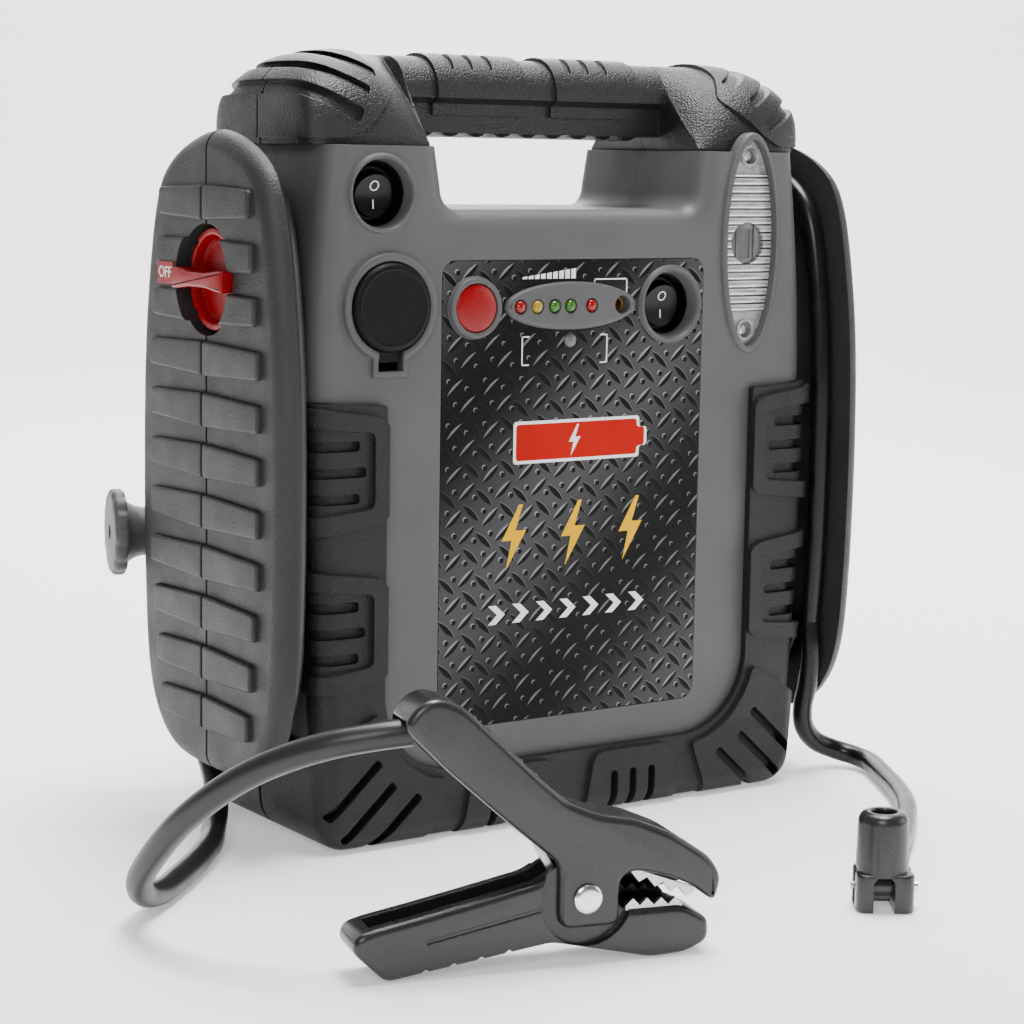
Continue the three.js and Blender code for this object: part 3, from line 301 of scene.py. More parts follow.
def tread_plate_print(name):
    """A printed picture of checker plate: bars that lean both ways, studs between, and drifting light."""
    g = Graph(name)
    xyz = g.add("ShaderNodeSeparateXYZ")
    g.feed(g.place, xyz.inputs[0])
    across, up = xyz.outputs[0], xyz.outputs[2]

    def from_centre(value, centre):
        """Distance from the nearest repeat of centre, in metres."""
        turns = g.plus(g.math("DIVIDE", g.minus(value, centre), TREAD_PITCH), 0.5)
        return g.times(g.minus(g.math("FRACT", turns), 0.5), TREAD_PITCH)

    def bar(centre, lean, half_length, half_width, shift=0.0):
        """How deep inside a lens-shaped bar the point is, and how far to its upper side, both 1 at most."""
        u, v = from_centre(across, centre[0] + shift), from_centre(up, centre[1] - shift)
        along = g.plus(g.times(u, 0.74), g.times(v, 0.67 * lean))
        over = g.minus(g.times(v, 0.74), g.times(u, 0.67 * lean))
        bend = g.math("POWER", g.absolute(g.math("DIVIDE", along, half_length)), 2.0)
        side = g.math("DIVIDE", over, half_width)
        depth = g.minus(g.minus(1.0, bend), g.absolute(side))
        return depth, side

    def stud(centre, radius, shift=0.0):
        u, v = from_centre(across, centre[0] + shift), from_centre(up, centre[1] - shift)
        squares = g.plus(g.times(u, u), g.times(v, v))
        return g.math("LESS_THAN", squares, radius * radius)

    def inside(value, edge=0.0):
        return g.math("GREATER_THAN", value, edge)

    def both(a, b):
        return g.times(a, b)

    phase = g.times(g.plus(g.minus(across, up), 0.153), 2 * math.pi / 0.160)
    wave = g.math("POWER", g.plus(g.times(g.math("COSINE", phase), 0.5), 0.5), 1.3)
    black = (0.0010, 0.0010, 0.0012, 1)
    picture = g.mix(wave, (0.0006, 0.0006, 0.0008, 1), (0.056, 0.056, 0.060, 1))
    bright = g.mix(wave, (0.13, 0.13, 0.13, 1), (0.24, 0.24, 0.245, 1))
    faint = g.mix(wave, (0.008, 0.008, 0.009, 1), (0.15, 0.15, 0.155, 1))
    for centre in RISING_BARS:
        depth, _ = bar(centre, 1, 0.0052, 0.0013, 0.0003)
        picture = g.mix(inside(depth), picture, black)
        depth, side = bar(centre, 1, 0.0053, 0.0011)
        picture = g.mix(both(inside(depth), inside(side, 0.08)), picture, bright)
    for centre in FALLING_BARS:
        depth, _ = bar(centre, -1, 0.0054, 0.00125)
        picture = g.mix(inside(depth), picture, faint)
        low, _ = bar((centre[0] - 0.00012, centre[1] - 0.0002), -1, 0.0053, 0.00118)
        picture = g.mix(inside(low), picture, black)
    for centre in STUDS:
        picture = g.mix(stud(centre, 0.00125, 0.00035), picture, black)
        picture = g.mix(stud(centre, 0.00105), picture, bright)
        picture = g.mix(stud(centre, 0.00092, 0.00042), picture, black)
    g.drive("Base Color", picture)
    g.drive("Roughness", g.span(g.noise(0.01), 0.34, 0.46))
    g.fix("Specular IOR Level", 0.12)
    g.relief(g.noise(0.0012), 0.00002, 0.0)
    return g.material


RIB_PITCH, RIB_REACH = 3.4, 29.5


def ribbed_glass(name):
    """Clear ribbed moulding over a bright reflector: pale bands, a painted highlight band on each rib's crest
    and a painted shade line between two ribs.
    """
    g = Graph(name)
    xyz = g.add("ShaderNodeSeparateXYZ")
    g.feed(g.place, xyz.inputs[0])
    rows = g.math("DIVIDE", g.minus(xyz.outputs[2], (LAMP_Z - RIB_REACH) / 1000), RIB_PITCH / 1000)
    from_valley = g.absolute(g.minus(g.math("FRACT", g.plus(rows, 0.5)), 0.5))
    painted_valley_shade = g.math("LESS_THAN", from_valley, 0.09)
    painted_crest_highlight = g.math("LESS_THAN", g.absolute(g.minus(from_valley, 0.22)), 0.05)
    ribbed = g.math("LESS_THAN", g.absolute(g.minus(xyz.outputs[2], LAMP_Z / 1000)),
                    RIB_REACH / 1000)
    streaks = g.noise(0.003, 3, (0.3, 1, 1.4))
    pale = g.mix(g.span(streaks, 0.0, 1.0), (0.20, 0.20, 0.205, 1), (0.42, 0.42, 0.425, 1))
    # Painted light on the ribs: a near-white painted highlight along each crest and a dark painted shade line
    # in each valley.
    pale = g.mix(g.times(painted_crest_highlight, ribbed), pale, (0.88, 0.88, 0.88, 1))
    g.drive("Base Color", g.mix(g.times(painted_valley_shade, ribbed), pale, (0.05, 0.05, 0.052, 1)))
    g.fix("Metallic", 0.35)
    g.drive("Roughness", g.span(g.noise(0.003), 0.14, 0.30))
    g.relief(streaks, 0.00012, 0.0)
    return g.material


MATERIAL = {
    "housing": plastic("grey_housing", (0.078, 0.078, 0.079), 0.48, depth=0.00003, edge=0.0007, sheen=0.35),
    "bumper": plastic("black_bumper", (0.0085, 0.0086, 0.0087), 0.50, 0.0009, 0.00022, 0.0008, 0.32),
    "grip": plastic("black_grip", (0.0080, 0.0081, 0.0082), 0.40, 0.0008, 0.00030, 0.0008, 0.42),
    "reel": plastic("charcoal_reel", (0.022, 0.023, 0.023), 0.48, 0.0009, 0.00016, 0.0006, 0.34),
    "post": plastic("grey_post", (0.056, 0.057, 0.057), 0.46, 0.0009, 0.00010, 0.0006, 0.34),
    "label": tread_plate_print("tread_plate_print"),
    "red_button": plastic("red_plastic", (0.24, 0.0010, 0.0035), 0.26, edge=0.0004, sheen=0.30, wear=0.04),
    "red_lamp": translucent("red_lamp", (0.50, 0.008, 0.006), transmit=0.5),
    "amber_lamp": translucent("amber_lamp", (0.62, 0.42, 0.03), transmit=0.45),
    "green_lamp": translucent("green_lamp", (0.07, 0.26, 0.02), transmit=0.5),
    "clear_lens": translucent("clear_lens", (0.93, 0.95, 0.96), 0.03, 1.0),
    "brass": metal("brass", (0.72, 0.50, 0.18), 0.22),
    "switch_black": plastic("black_switch", (0.0025, 0.0025, 0.0027), 0.26, edge=0.0003, sheen=0.22),
    "cap_rubber": plastic("black_rubber", (0.0028, 0.0028, 0.0029), 0.48, 0.0006, 0.00005, 0.0006, 0.16),
    "reflector": ribbed_glass("ribbed_glass"),
    "circuit_board": plastic("circuit_board", (0.02, 0.12, 0.05), 0.35),
    "steel": metal("zinc_steel", (0.62, 0.63, 0.64), 0.30),
    "aluminium": metal("cast_aluminium", (0.70, 0.70, 0.71), 0.42, (1, 1, 1)),
    "bright_metal": metal("bright_plating", (0.86, 0.86, 0.87), 0.16, (1, 1, 1)),
    "cable": plastic("cable_jacket", (0.014, 0.0145, 0.015), 0.34, edge=0.0, depth=0.00003, sheen=0.4),
    "hose": plastic("hose_jacket", (0.0040, 0.0040, 0.0043), 0.28, edge=0.0, depth=0.00002, sheen=0.3),
    "battery_case": plastic("battery_case", (0.03, 0.03, 0.032), 0.5),
    "clamp_plastic": plastic("clamp_plastic", (0.017, 0.017, 0.0175), 0.25, edge=0.0009, sheen=0.48),
    "smoked_dome": translucent("smoked_dome", (0.16, 0.16, 0.165), 0.15, 0.25),
    "white_print": plastic("white_print", (0.86, 0.86, 0.85), 0.45, edge=0.0, sheen=0.2),
    "yellow_print": plastic("yellow_print", (0.80, 0.44, 0.001), 0.45, edge=0.0, sheen=0.05),
    "red_print": plastic("red_print", (0.42, 0.008, 0.004), 0.45, edge=0.0, sheen=0.05),
}

node_slot = {part["node"]: part["material_slot"] for part in frame["record"]["subparts"]}
for node_name, node_object in frame["nodes"].items():
    node_object.data.materials.clear()
    node_object.data.materials.append(MATERIAL[node_slot[node_name]])


# ---- drawing solids ----------------------------------------------------------------------------
def from_faces(vertices, faces):
    mesh = bpy.data.meshes.new("drawing")
    mesh.from_pydata([tuple(v) for v in vertices], [], faces)
    drawn = bmesh.new()
    drawn.from_mesh(mesh)
    bmesh.ops.recalc_face_normals(drawn, faces=drawn.faces)
    drawn.to_mesh(mesh)
    drawn.free()
    result = bpy.data.objects.new("drawing", mesh)
    bpy.context.scene.collection.objects.link(result)
    return result


def combine(base, tools, operation):
    """Boolean of base with each tool in turn. The tools are used up."""
    for tool in tools:
        modifier = base.modifiers.new("cut", "BOOLEAN")
        modifier.operation, modifier.solver, modifier.object = operation, "MANIFOLD", tool
        depsgraph = bpy.context.evaluated_depsgraph_get()
        result = bpy.data.meshes.new_from_object(base.evaluated_get(depsgraph))
        base.modifiers.clear()
        base.data = result
        bpy.data.objects.remove(tool)
    return base


def add(base, *tools):
    return combine(base, tools, "UNION")


def cut(base, *tools):
    return combine(base, tools, "DIFFERENCE")


def common(base, *tools):
    return combine(base, tools, "INTERSECT")


def copy(drawing):
    twin = bpy.data.objects.new("drawing", drawing.data.copy())
    bpy.context.scene.collection.objects.link(twin)
    return twin


def moved(drawing, matrix):
    drawing.data.transform(matrix)
    if matrix.determinant() < 0:
        drawing.data.flip_normals()
    return drawing


def shifted(drawing, x=0.0, y=0.0, z=0.0):
    return moved(drawing, Matrix.Translation((x, y, z)))


def turned(drawing, degrees, axis):
    return moved(drawing, Matrix.Rotation(math.radians(degrees), 4, axis))


def flipped(drawing, axis="X"):
    """A mirror image across the plane through the origin square to axis."""
    scale = {"X": (-1, 1, 1), "Y": (1, -1, 1)}[axis]
    return moved(copy(drawing), Matrix.Diagonal((*scale, 1)))


def both_sides(drawing):
    return add(drawing, flipped(drawing))


AXES = {
    "X": lambda u, v, w: (w, u, v),
    "Y": lambda u, v, w: (u, w, v),
    "Z": lambda u, v, w: (u, v, w),
}


def inset(outline, distance):
    """The outline moved inwards by distance, with mitred corners. It runs anticlockwise."""
    count = len(outline)
    result = []
    for i, (u, v) in enumerate(outline):
        before, after = outline[i - 1], outline[(i + 1) % count]
        a = Vector((u - before[0], v - before[1])).normalized()
        b = Vector((after[0] - u, after[1] - v)).normalized()
        inward = Vector((-a.y - b.y, a.x + b.x))
        inward.normalize()
        half_turn = max(0.35, inward.dot(Vector((-a.y, a.x))))
        result.append((u + inward.x * distance / half_turn, v + inward.y * distance / half_turn))
    return result


def anticlockwise(outline):
    area = sum(a[0] * b[1] - b[0] * a[1] for a, b in zip(outline, outline[1:] + outline[:1]))
    return list(outline) if area > 0 else list(reversed(outline))


def prism(outline, axis, low, high, round_low=0.0, round_high=0.0, steps=6):
    """The outline drawn out along axis, with its rims rounded."""
    outline = anticlockwise(outline)
    stations = []
    for k in range(steps if round_low else 0):
        angle = math.pi / 2 * k / steps
        stations.append((low + round_low * (1 - math.cos(angle)), round_low * (1 - math.sin(angle))))
    stations.append((low + round_low, 0.0))
    if high - round_high > low + round_low + 1e-6:
        stations.append((high - round_high, 0.0))
    for k in range(steps - 1, -1, -1) if round_high else ():
        angle = math.pi / 2 * k / steps
        stations.append((high - round_high * (1 - math.cos(angle)), round_high * (1 - math.sin(angle))))
    vertices = []
    for height, margin in stations:
        ring = inset(outline, margin) if margin > 1e-9 else outline
        vertices.extend(AXES[axis](u, v, height) for u, v in ring)
    return from_faces(vertices, ring_faces(len(outline), len(stations)))


def ring_faces(count, rings, capped=True):
    faces = []
    for r in range(rings - 1):
        for i in range(count):
            j = (i + 1) % count
            faces.append((r * count + i, r * count + j, (r + 1) * count + j, (r + 1) * count + i))
    if capped:
        faces.append(tuple(range(count - 1, -1, -1)))
        faces.append(tuple((rings - 1) * count + i for i in range(count)))
    return faces


def loft(rings):
    return from_faces([p for ring in rings for p in ring], ring_faces(len(rings[0]), len(rings)))


def lathe(profile, axis, centre, sides=64):
    """Turns (radius, height) points about an axis through centre. The profile starts and ends on it."""
    rings = [p for p in profile if p[0] > 1e-6]
    poles = [p for p in profile if p[0] <= 1e-6]
    vertices = []
    for radius, height in rings:
        for i in range(sides):
            angle = 2 * math.pi * i / sides
            vertices.append(AXES[axis](radius * math.cos(angle), radius * math.sin(angle), height))
    faces = ring_faces(sides, len(rings), capped=False)
    for pole, ring in ((poles[0], 0), (poles[-1], len(rings) - 1)):
        vertices.append(AXES[axis](0, 0, pole[1]))
        tip = len(vertices) - 1
        faces.extend((ring * sides + i, ring * sides + (i + 1) % sides, tip) for i in range(sides))
    return shifted(from_faces(vertices, faces), *centre)


def rod(radius, low, high, axis, centre, sides=64):
    """A plain round bar along axis, from low to high."""
    return lathe([(0, low), (radius, low), (radius, high), (0, high)], axis, centre, sides)


def block(x0, x1, y0, y1, z0, z1):
    return prism([(x0, y0), (x1, y0), (x1, y1), (x0, y1)], "Z", z0, z1)


def arc(u, v, radius, start, end, steps):
    angles = [math.radians(start + (end - start) * i / steps) for i in range(steps + 1)]
    return [(u + radius * math.cos(a), v + radius * math.sin(a)) for a in angles]


def ellipse(u, v, a, b, steps=96):
    return [(u + a * math.cos(2 * math.pi * i / steps), v + b * math.sin(2 * math.pi * i / steps))
            for i in range(steps)]


def rectangle(u0, u1, v0, v1, r, steps=6):
    return (arc(u1 - r, v1 - r, r, 0, 90, steps) + arc(u0 + r, v1 - r, r, 90, 180, steps)
            + arc(u0 + r, v0 + r, r, 180, 270, steps) + arc(u1 - r, v0 + r, r, 270, 360, steps))


def softened(points, radius, steps=5):
    """The polygon with every corner replaced by a short curve."""
    result = []
    count = len(points)
    for i, corner in enumerate(points):
        corner = Vector(corner)
        before, after = Vector(points[i - 1]), Vector(points[(i + 1) % count])
        first = corner + (before - corner).normalized() * min(radius, (before - corner).length * 0.45)
        last = corner + (after - corner).normalized() * min(radius, (after - corner).length * 0.45)
        for k in range(steps + 1):
            t = k / steps
            point = first * (1 - t) ** 2 + corner * 2 * t * (1 - t) + last * t ** 2
            result.append(tuple(point))
    return result


def on_curve(p0, p1, p2, p3, t):
    """The point t of the way from p1 to p2 on a Catmull-Rom curve."""
    return 0.5 * (2 * p1 + (p2 - p0) * t + (2 * p0 - 5 * p1 + 4 * p2 - p3) * t * t
                  + (3 * p1 - p0 - 3 * p2 + p3) * t ** 3)


def smooth_loop(points, steps):
    """Points evenly spread on a closed Catmull-Rom curve through the given ones."""
    count = len(points)
    dense = []
    for i in range(count):
        p0, p1, p2, p3 = (Vector(points[(i + k) % count]) for k in (-1, 0, 1, 2))
        dense += [on_curve(p0, p1, p2, p3, k / 24) for k in range(24)]
    return even_points(dense + dense[:1], steps + 1)[:-1]


def even_points(line, count):
    lengths = [0.0]
    for a, b in zip(line, line[1:]):
        lengths.append(lengths[-1] + (b - a).length)
    result, k = [], 0
    for i in range(count):
        goal = lengths[-1] * i / (count - 1)
        while k < len(line) - 2 and lengths[k + 1] < goal:
            k += 1
        span = max(lengths[k + 1] - lengths[k], 1e-9)
        result.append(line[k].lerp(line[k + 1], (goal - lengths[k]) / span))
    return result


def place(drawing, name, body, slot, replaces=(), material=None, smooth=32):
    """Turns the drawing into a finished piece of the scene, riding on body."""
    to_metres = Matrix.Scale(0.001, 4) @ Matrix.Translation((0, SHIFT_Y, 0))
    drawing.data.transform(to_metres)
    drawing.name = name
    drawing.data.name = name
    drawing.data.materials.clear()
    drawing.data.materials.append(MATERIAL[material or slot])
    drawing.data.polygons.foreach_set("use_smooth", [True] * len(drawing.data.polygons))
    drawing.data.set_sharp_from_angle(angle=math.radians(smooth))
    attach(drawing, body)
    if replaces:
        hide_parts(*replaces)
    return drawing


# ---- cable and hose ----------------------------------------------------------------------------
def cord_curve(name, route, diameter, material):
    """A smooth open curve through the route."""
    points = [metres(*p) for p in route]
    padded = [points[0] * 2 - points[1]] + points + [points[-1] * 2 - points[-2]]
    dense = []
    for p0, p1, p2, p3 in zip(padded, padded[1:], padded[2:], padded[3:]):
        dense += [on_curve(p0, p1, p2, p3, k / 12) for k in range(12)]
    dense.append(points[-1])
    data = bpy.data.curves.new(name, "CURVE")
    data.dimensions = "3D"
    data.bevel_depth = diameter / 2000
    data.bevel_resolution = 8
    data.use_fill_caps = True
    spline = data.splines.new("POLY")
    line = even_points(dense, 160)
    spline.points.add(len(line) - 1)
    for point, place_at in zip(spline.points, line):
        point.co = (*place_at, 1.0)
    spline.use_smooth = True
    curve = bpy.data.objects.new(name, data)
    curve.data.materials.append(material)
    bpy.context.scene.collection.objects.link(curve)
    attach(curve, "unit")
    length = sum((b - a).length for a, b in zip(line, line[1:]))
    return curve, line, length


def reel_outline(margin, steps=140):
    wide = 1 - margin / REEL_HALF
    tall = 1 - margin / (REEL_TOP - REEL_MIDDLE)
    loop = list(REEL_PROFILE) + [(-y, z) for y, z in reversed(REEL_PROFILE[1:])]
    return [(p.x * wide, REEL_MIDDLE + (p.y - REEL_MIDDLE) * tall) for p in smooth_loop(loop, steps)]


def tube(path, radius, sides=20):
    """A round tube along a path of points, with flat ends."""
    rings = []
    side = None
    for i, point in enumerate(path):
        ahead = (path[min(i + 1, len(path) - 1)] - path[max(i - 1, 0)]).normalized()
        if side is None:
            side = ahead.cross(Vector((1, 0, 0))).normalized()
        side = (side - ahead * side.dot(ahead)).normalized()
        other = ahead.cross(side)
        rings.append([point + (side * math.cos(2 * math.pi * k / sides) + other
                               * math.sin(2 * math.pi * k / sides)) * radius for k in range(sides)])
    return loft(rings)


def winding(name, node, side, start_y, start_z, diameter, slot):
    """One turn of the lead round its reel, from where the free lead leaves it back into the drum."""
    outer = 9 + diameter / 2
    loop = reel_outline(outer)
    start = min(range(len(loop)), key=lambda i: (loop[i][0] - start_y) ** 2 + (loop[i][1] - start_z) ** 2)
    order = loop[start:] + loop[:start]
    if order[6][1] < order[0][1]:
        order = [order[0]] + list(reversed(order[1:]))
    path = [Vector((side * LEAD_X, start_y, start_z - 2))]
    for i, (y, z) in enumerate(order[3:-1]):
        t = i / (len(order) - 3)
        sink = 1 - 0.16 * max(0.0, (t - 0.82) / 0.18)
        height = REEL_MIDDLE + (z - REEL_MIDDLE) * (1 - (1 - sink) * 0.5)
        path.append(Vector((side * LEAD_X, y * sink, height)))
    return place(tube(path, diameter / 2 - 0.05), name, "unit", slot, (node,))


cable, cable_line, cable_length = cord_curve("battery_cable", CABLE_ROUTE, CABLE_D, MATERIAL["cable"])
hose, hose_line, hose_length = cord_curve("air_hose", HOSE_ROUTE, HOSE_D, MATERIAL["hose"])
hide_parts("left_cable")
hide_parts("right_hose")
winding("wound_cable", "left_cable_winding", -1, 44.5, 62, CABLE_D, "cable")
winding("wound_hose", "right_hose_winding", 1, -45.5, 72, HOSE_D, "hose")


# ---- housing -----------------------------------------------------------------------------------
def body_half(z):
    sag = SAG_UP if z > WAIST_Z else SAG_DOWN
    return BODY_WAIST - sag * (z - WAIST_Z) ** 2


def body_outline(margin, base):
    low = base + CORNER_R
    right = arc(body_half(low) - margin - CORNER_R, low, CORNER_R, -90, 0, 10)
    rows = 28
    heights = [low + (300 - low) * i / rows for i in range(1, rows + 1)]
    right += [(body_half(z) - margin, z) for z in heights]
    slope = (GRIP_HIGH - GRIP_LOW) / (BODY_TOP - GRIP_FLOOR)
    floor = GRIP_FLOOR - margin
    right.append((GRIP_LOW + slope * (300 - GRIP_FLOOR) + margin, 300))
    wall = GRIP_LOW + slope * (floor - GRIP_FLOOR) + margin
    right += arc(wall - GRIP_FILLET, floor + GRIP_FILLET, GRIP_FILLET, 0, -90, 8)
    return right + [(-x, z) for x, z in reversed(right)]


def body_form(margin, depth, base=BODY_BASE):
    return prism(body_outline(margin, base), "Y", -depth, depth, BODY_ROUND, BODY_ROUND, 9)


def plain_outline(grow):
    right = arc(body_half(CORNER_R) + grow - CORNER_R, CORNER_R, CORNER_R, -90, 0, 10)
    rows = 20
    heights = [CORNER_R + (230 - CORNER_R) * i / rows for i in range(1, rows + 1)]
    right += [(body_half(z) + grow, z) for z in heights]
    return right + [(-x, z) for x, z in reversed(right)]


def plain_form(grow, depth):
    return prism(plain_outline(grow), "Y", -depth, depth, BODY_ROUND, BODY_ROUND, 9)


def window_outline(grow):
    half, low = WINDOW_X + grow, WINDOW_Z - grow
    right = arc(half - WINDOW_R, low + WINDOW_R, WINDOW_R, -90, 0, 14)
    top = ARM_TOP - grow
    right += softened([(half, top - 4), (half, top), (half + 4, top)], 3)[6:12]
    right += [(160, top + 3), (160, 330)]
    return right + [(-x, z) for x, z in reversed(right)]


def half_space(front):
    """Everything on one side of the seam between the front and rear halves."""
    depth = (-FAR, -GAP / 2) if front else (GAP / 2, FAR)
    return block(-FAR, FAR, *depth, -20, OVER)


def slab(low, high):
    """Everything between two heights."""
    return block(-200, 200, -100, 100, low, high)


def housing_shell():
    shell = common(body_form(0, -FACE), prism(window_outline(0), "Y", -60, 60))
    shell = add(shell, body_form(1.8, -FACE))
    cavity = prism(body_outline(5.2, BODY_BASE + WALL), "Y", FACE + WALL, -FACE - WALL)
    common(cavity, slab(0, BODY_TOP - WALL))
    return cut(shell, slab(BODY_TOP, OVER), cavity)


def moulded_ring(x, z, radius, proud, hole):
    """A round bezel with a soft lip, standing proud of the front."""
    y = FACE
    profile = [(0, y + 10), (radius + 0.6, y + 10), (radius + 0.6, y + 0.2), (radius + 0.1, y - 0.5)]
    for i in range(9):
        angle = math.pi * i / 8
        lip = (radius - hole) / 2
        profile.append((hole + lip + (lip - 0.1) * math.cos(angle), y - proud + 0.9 - 0.9 * math.sin(angle)))
    profile.append((0, y - proud + 0.9))
    return lathe(profile, "Y", (x, 0, z), 72)


SLEEVE_R, SLEEVE_DEPTH = 12.9, 4.6


def funnel(spec):
    """The room cut for a round switch: a soft grey mouth, then a straight hole for the black sleeve."""
    y = FACE
    mouth = spec["mouth"]
    profile = [(0, y - 6), (mouth + 0.9, y - 6), (mouth + 0.9, y - 2.0), (mouth, y - 1.2)]
    for i in range(1, 9):
        t = i / 8
        narrow = mouth + (SLEEVE_R - mouth) * t ** 0.7
        profile.append((narrow, y - 1.2 + (SLEEVE_DEPTH + 1.2) * t))
    profile += [(SLEEVE_R, y + 9.6), (spec["well"], y + 9.6), (spec["well"], y + 20), (0, y + 20)]
    return lathe(profile, "Y", (spec["x"], 0, spec["z"]), 72)


def switch_sleeve(spec):
    """The black bezel in a switch's mouth, narrowing to the rocker."""
    x, z = spec["x"], spec["z"]
    front, back = FACE + SLEEVE_DEPTH, FACE + 9.5
    ring = rod(SLEEVE_R - 0.05, front, back, "Y", (x, 0, z), 72)
    bore = [(0, front - 1), (SLEEVE_R - 0.3, front - 1), (SLEEVE_R - 0.5, front + 0.6),
            (spec["well"], back - 0.4), (spec["well"], back + 1), (0, back + 1)]
    return cut(ring, lathe(bore, "Y", (x, 0, z), 72))


def oval_rim():
    """The soft bezel of the work light, which reaches up into the handle."""
    return prism(ellipse(LAMP_X, LAMP_Z, RIM_A, RIM_B), "Y", FACE - 1.7, FACE + 12, 1.6, 0, 6)


def front_housing():
    shell = common(housing_shell(), half_space(True))
    room = PANEL_HALF + GAP
    recess = prism(rectangle(-room, room, PANEL_LOW - GAP, PANEL_HIGH + GAP, PANEL_R + 1),
                   "Y", FACE - 4, FACE + 1)
    cut(shell, recess)
    add(shell, moulded_ring(POWER["x"], POWER["z"], POWER["ring"], 1.8, POWER["mouth"] - 0.5))
    add(shell, moulded_ring(LIGHT["x"], LIGHT["z"], LIGHT["ring"], 1.8, LIGHT["mouth"] - 0.5))
    add(shell, moulded_ring(SOCKET_X, SOCKET_Z, SOCKET_RING, 2.2, SOCKET_CAP))
    add(shell, moulded_ring(BUTTON_X, CONTROL_Z, BUTTON_RING, 2.6, BUTTON_R))
    island = prism(softened(ellipse(ISLAND_X, CONTROL_Z, ISLAND_A, ISLAND_B, 72), 0.5, 1), "Y",
                   FACE - 2.2, FACE + 5, 2.0, 0, 6)
    add(shell, island, oval_rim())
    notch_lip = prism(rectangle(SOCKET_X - 8.2, SOCKET_X + 8.2, SOCKET_Z - 27.6, SOCKET_Z - 10, 1.2), "Y",
                      FACE - 1.6, FACE + 3, 0.9, 0, 4)
    add(shell, notch_lip)
    cuts = [
        funnel(POWER), funnel(LIGHT),
        lathe([(0, FACE - 6), (SOCKET_CAP + GAP, FACE - 6), (SOCKET_CAP + GAP, FACE + 5.8), (14, FACE + 5.8),
               (14, FACE + 20), (0, FACE + 20)], "Y", (SOCKET_X, 0, SOCKET_Z), 72),
        block(SOCKET_X - 5.8, SOCKET_X + 5.8, FACE - 6, FACE + 3.4, SOCKET_Z - 25.2, SOCKET_Z - 10),
        rod(BUTTON_R + GAP, OUT, IN, "Y", (BUTTON_X, 0, CONTROL_Z)),
        lathe([(0, OUT), (JACK_R, OUT), (JACK_R, FACE - 2.4), (JACK_HOLE, FACE - 1.7), (JACK_HOLE, IN),
               (0, IN)], "Y", (JACK_X, 0, CONTROL_Z), 48),
        prism(ellipse(LAMP_X, LAMP_Z, LENS_A, LENS_B), "Y", OUT, IN),
    ]
    for x, _ in LAMPS.values():
        cuts.append(lathe([(0, OUT), (LAMP_R + 0.5, OUT), (LAMP_R + 0.5, FACE - 2.0),
                           (LAMP_R + 0.1, FACE - 1.2), (LAMP_R + 0.1, IN), (0, IN)], "Y",
                          (x, 0, CONTROL_Z), 32))
    cuts.append(rod(LAMP_R + 0.1, OUT, IN, "Y",
                      (POLARITY_X, 0, POLARITY_Z), 32))
    cut(shell, *cuts)
    return shell


def parking_post():
    flutes = 14
    rim = []
    for i in range(flutes * 8):
        angle = 2 * math.pi * i / (flutes * 8)
        r = POST_R - 0.05 - 0.8 * (0.5 - 0.5 * math.cos(flutes * angle)) ** 2
        rim.append((r * math.cos(angle), r * math.sin(angle)))
    head = prism(rim, "X", -2.5, 3.5, 2.2, 1.6, 6)
    stem = lathe([(0, 1), (14.5, 3.2), (12.5, 5.5), (11.2, 8), (10.4, 11), (10.4, 66), (0, 66)], "X",
                 (0, 0, 0))
    add(head, stem)
    cut(head, rod(3, -6, 6, "X", (0, 0, 0), 32))
    turned(head, -POST_TILT, "Z")
    shifted(head, -POST_X, POST_Y, POST_Z)
    return cut(head, block(-BULGE_HALF + WALL, 0, 0, 200, 0, 300))


GAUGE_X, GAUGE_Z, GAUGE_R = 45.0, 165.0, 21.0
SWITCH_X, SWITCH_A, SWITCH_B = -45.0, 10.5, 15.0


def rear_housing():
    shell = common(housing_shell(), half_space(False))
    outline = rectangle(-BULGE_HALF, BULGE_HALF, BULGE_LOW, BULGE_HIGH, 18, 12)
    add(shell, prism(outline, "Y", 39.5, BULGE_REAR, 0, 4, 8))
    inner = BULGE_HALF - WALL
    hollow = prism(rectangle(-inner, inner, BULGE_LOW + WALL, BULGE_HIGH - WALL, 15), "Y", 20,
                   BULGE_REAR - WALL)
    gauge_hole = rod(GAUGE_R + GAP, 70, 100, "Y",
                       (GAUGE_X, 0, GAUGE_Z), 72)
    half_wide, half_tall = SWITCH_A + GAP, SWITCH_B + GAP
    switch_hole = prism(rectangle(SWITCH_X - half_wide, SWITCH_X + half_wide, GAUGE_Z - half_tall,
                                  GAUGE_Z + half_tall, 1), "Y", 70, 100)
    return common(cut(shell, hollow, gauge_hole, switch_hole), half_space(False))


def gauge_case():
    """A shallow round case with a rolled rim."""
    back = BULGE_REAR
    case = lathe([(0, back - 14), (GAUGE_R, back - 14), (GAUGE_R, back + 1.2), (GAUGE_R - 0.5, back + 1.9),
                  (GAUGE_R - 1.4, back + 2), (0, back + 2)], "Y", (GAUGE_X, 0, GAUGE_Z), 96)
    return cut(case, rod(GAUGE_R - 2.5, back - 4, back + 4, "Y", (GAUGE_X, 0, GAUGE_Z), 96))


def gauge_marks():
    """The ticks of the gauge's scale, round three quarters of its face."""
    face = BULGE_REAR - 3.9
    ticks = []
    for i in range(28):
        long = i % 3 == 0
        tick = block(-0.5 if long else -0.25, 0.5 if long else 0.25, 0, 0.25, 12.0 if long else 13.6, 16.0)
        turned(tick, -135 + 10 * i, "Y")
        ticks.append(shifted(tick, GAUGE_X, face + 0.02, GAUGE_Z))
    return joined(ticks)


def gauge_needle():
    pointer = prism([(-1.0, -4), (1.0, -4), (0.35, 13.5), (-0.35, 13.5)], "Y", 0, 0.5)
    add(pointer, rod(2.0, -0.3, 0.9, "Y", (0, 0, 0), 32))
    turned(pointer, -135, "Y")
    return shifted(pointer, GAUGE_X, BULGE_REAR - 3.4, GAUGE_Z)


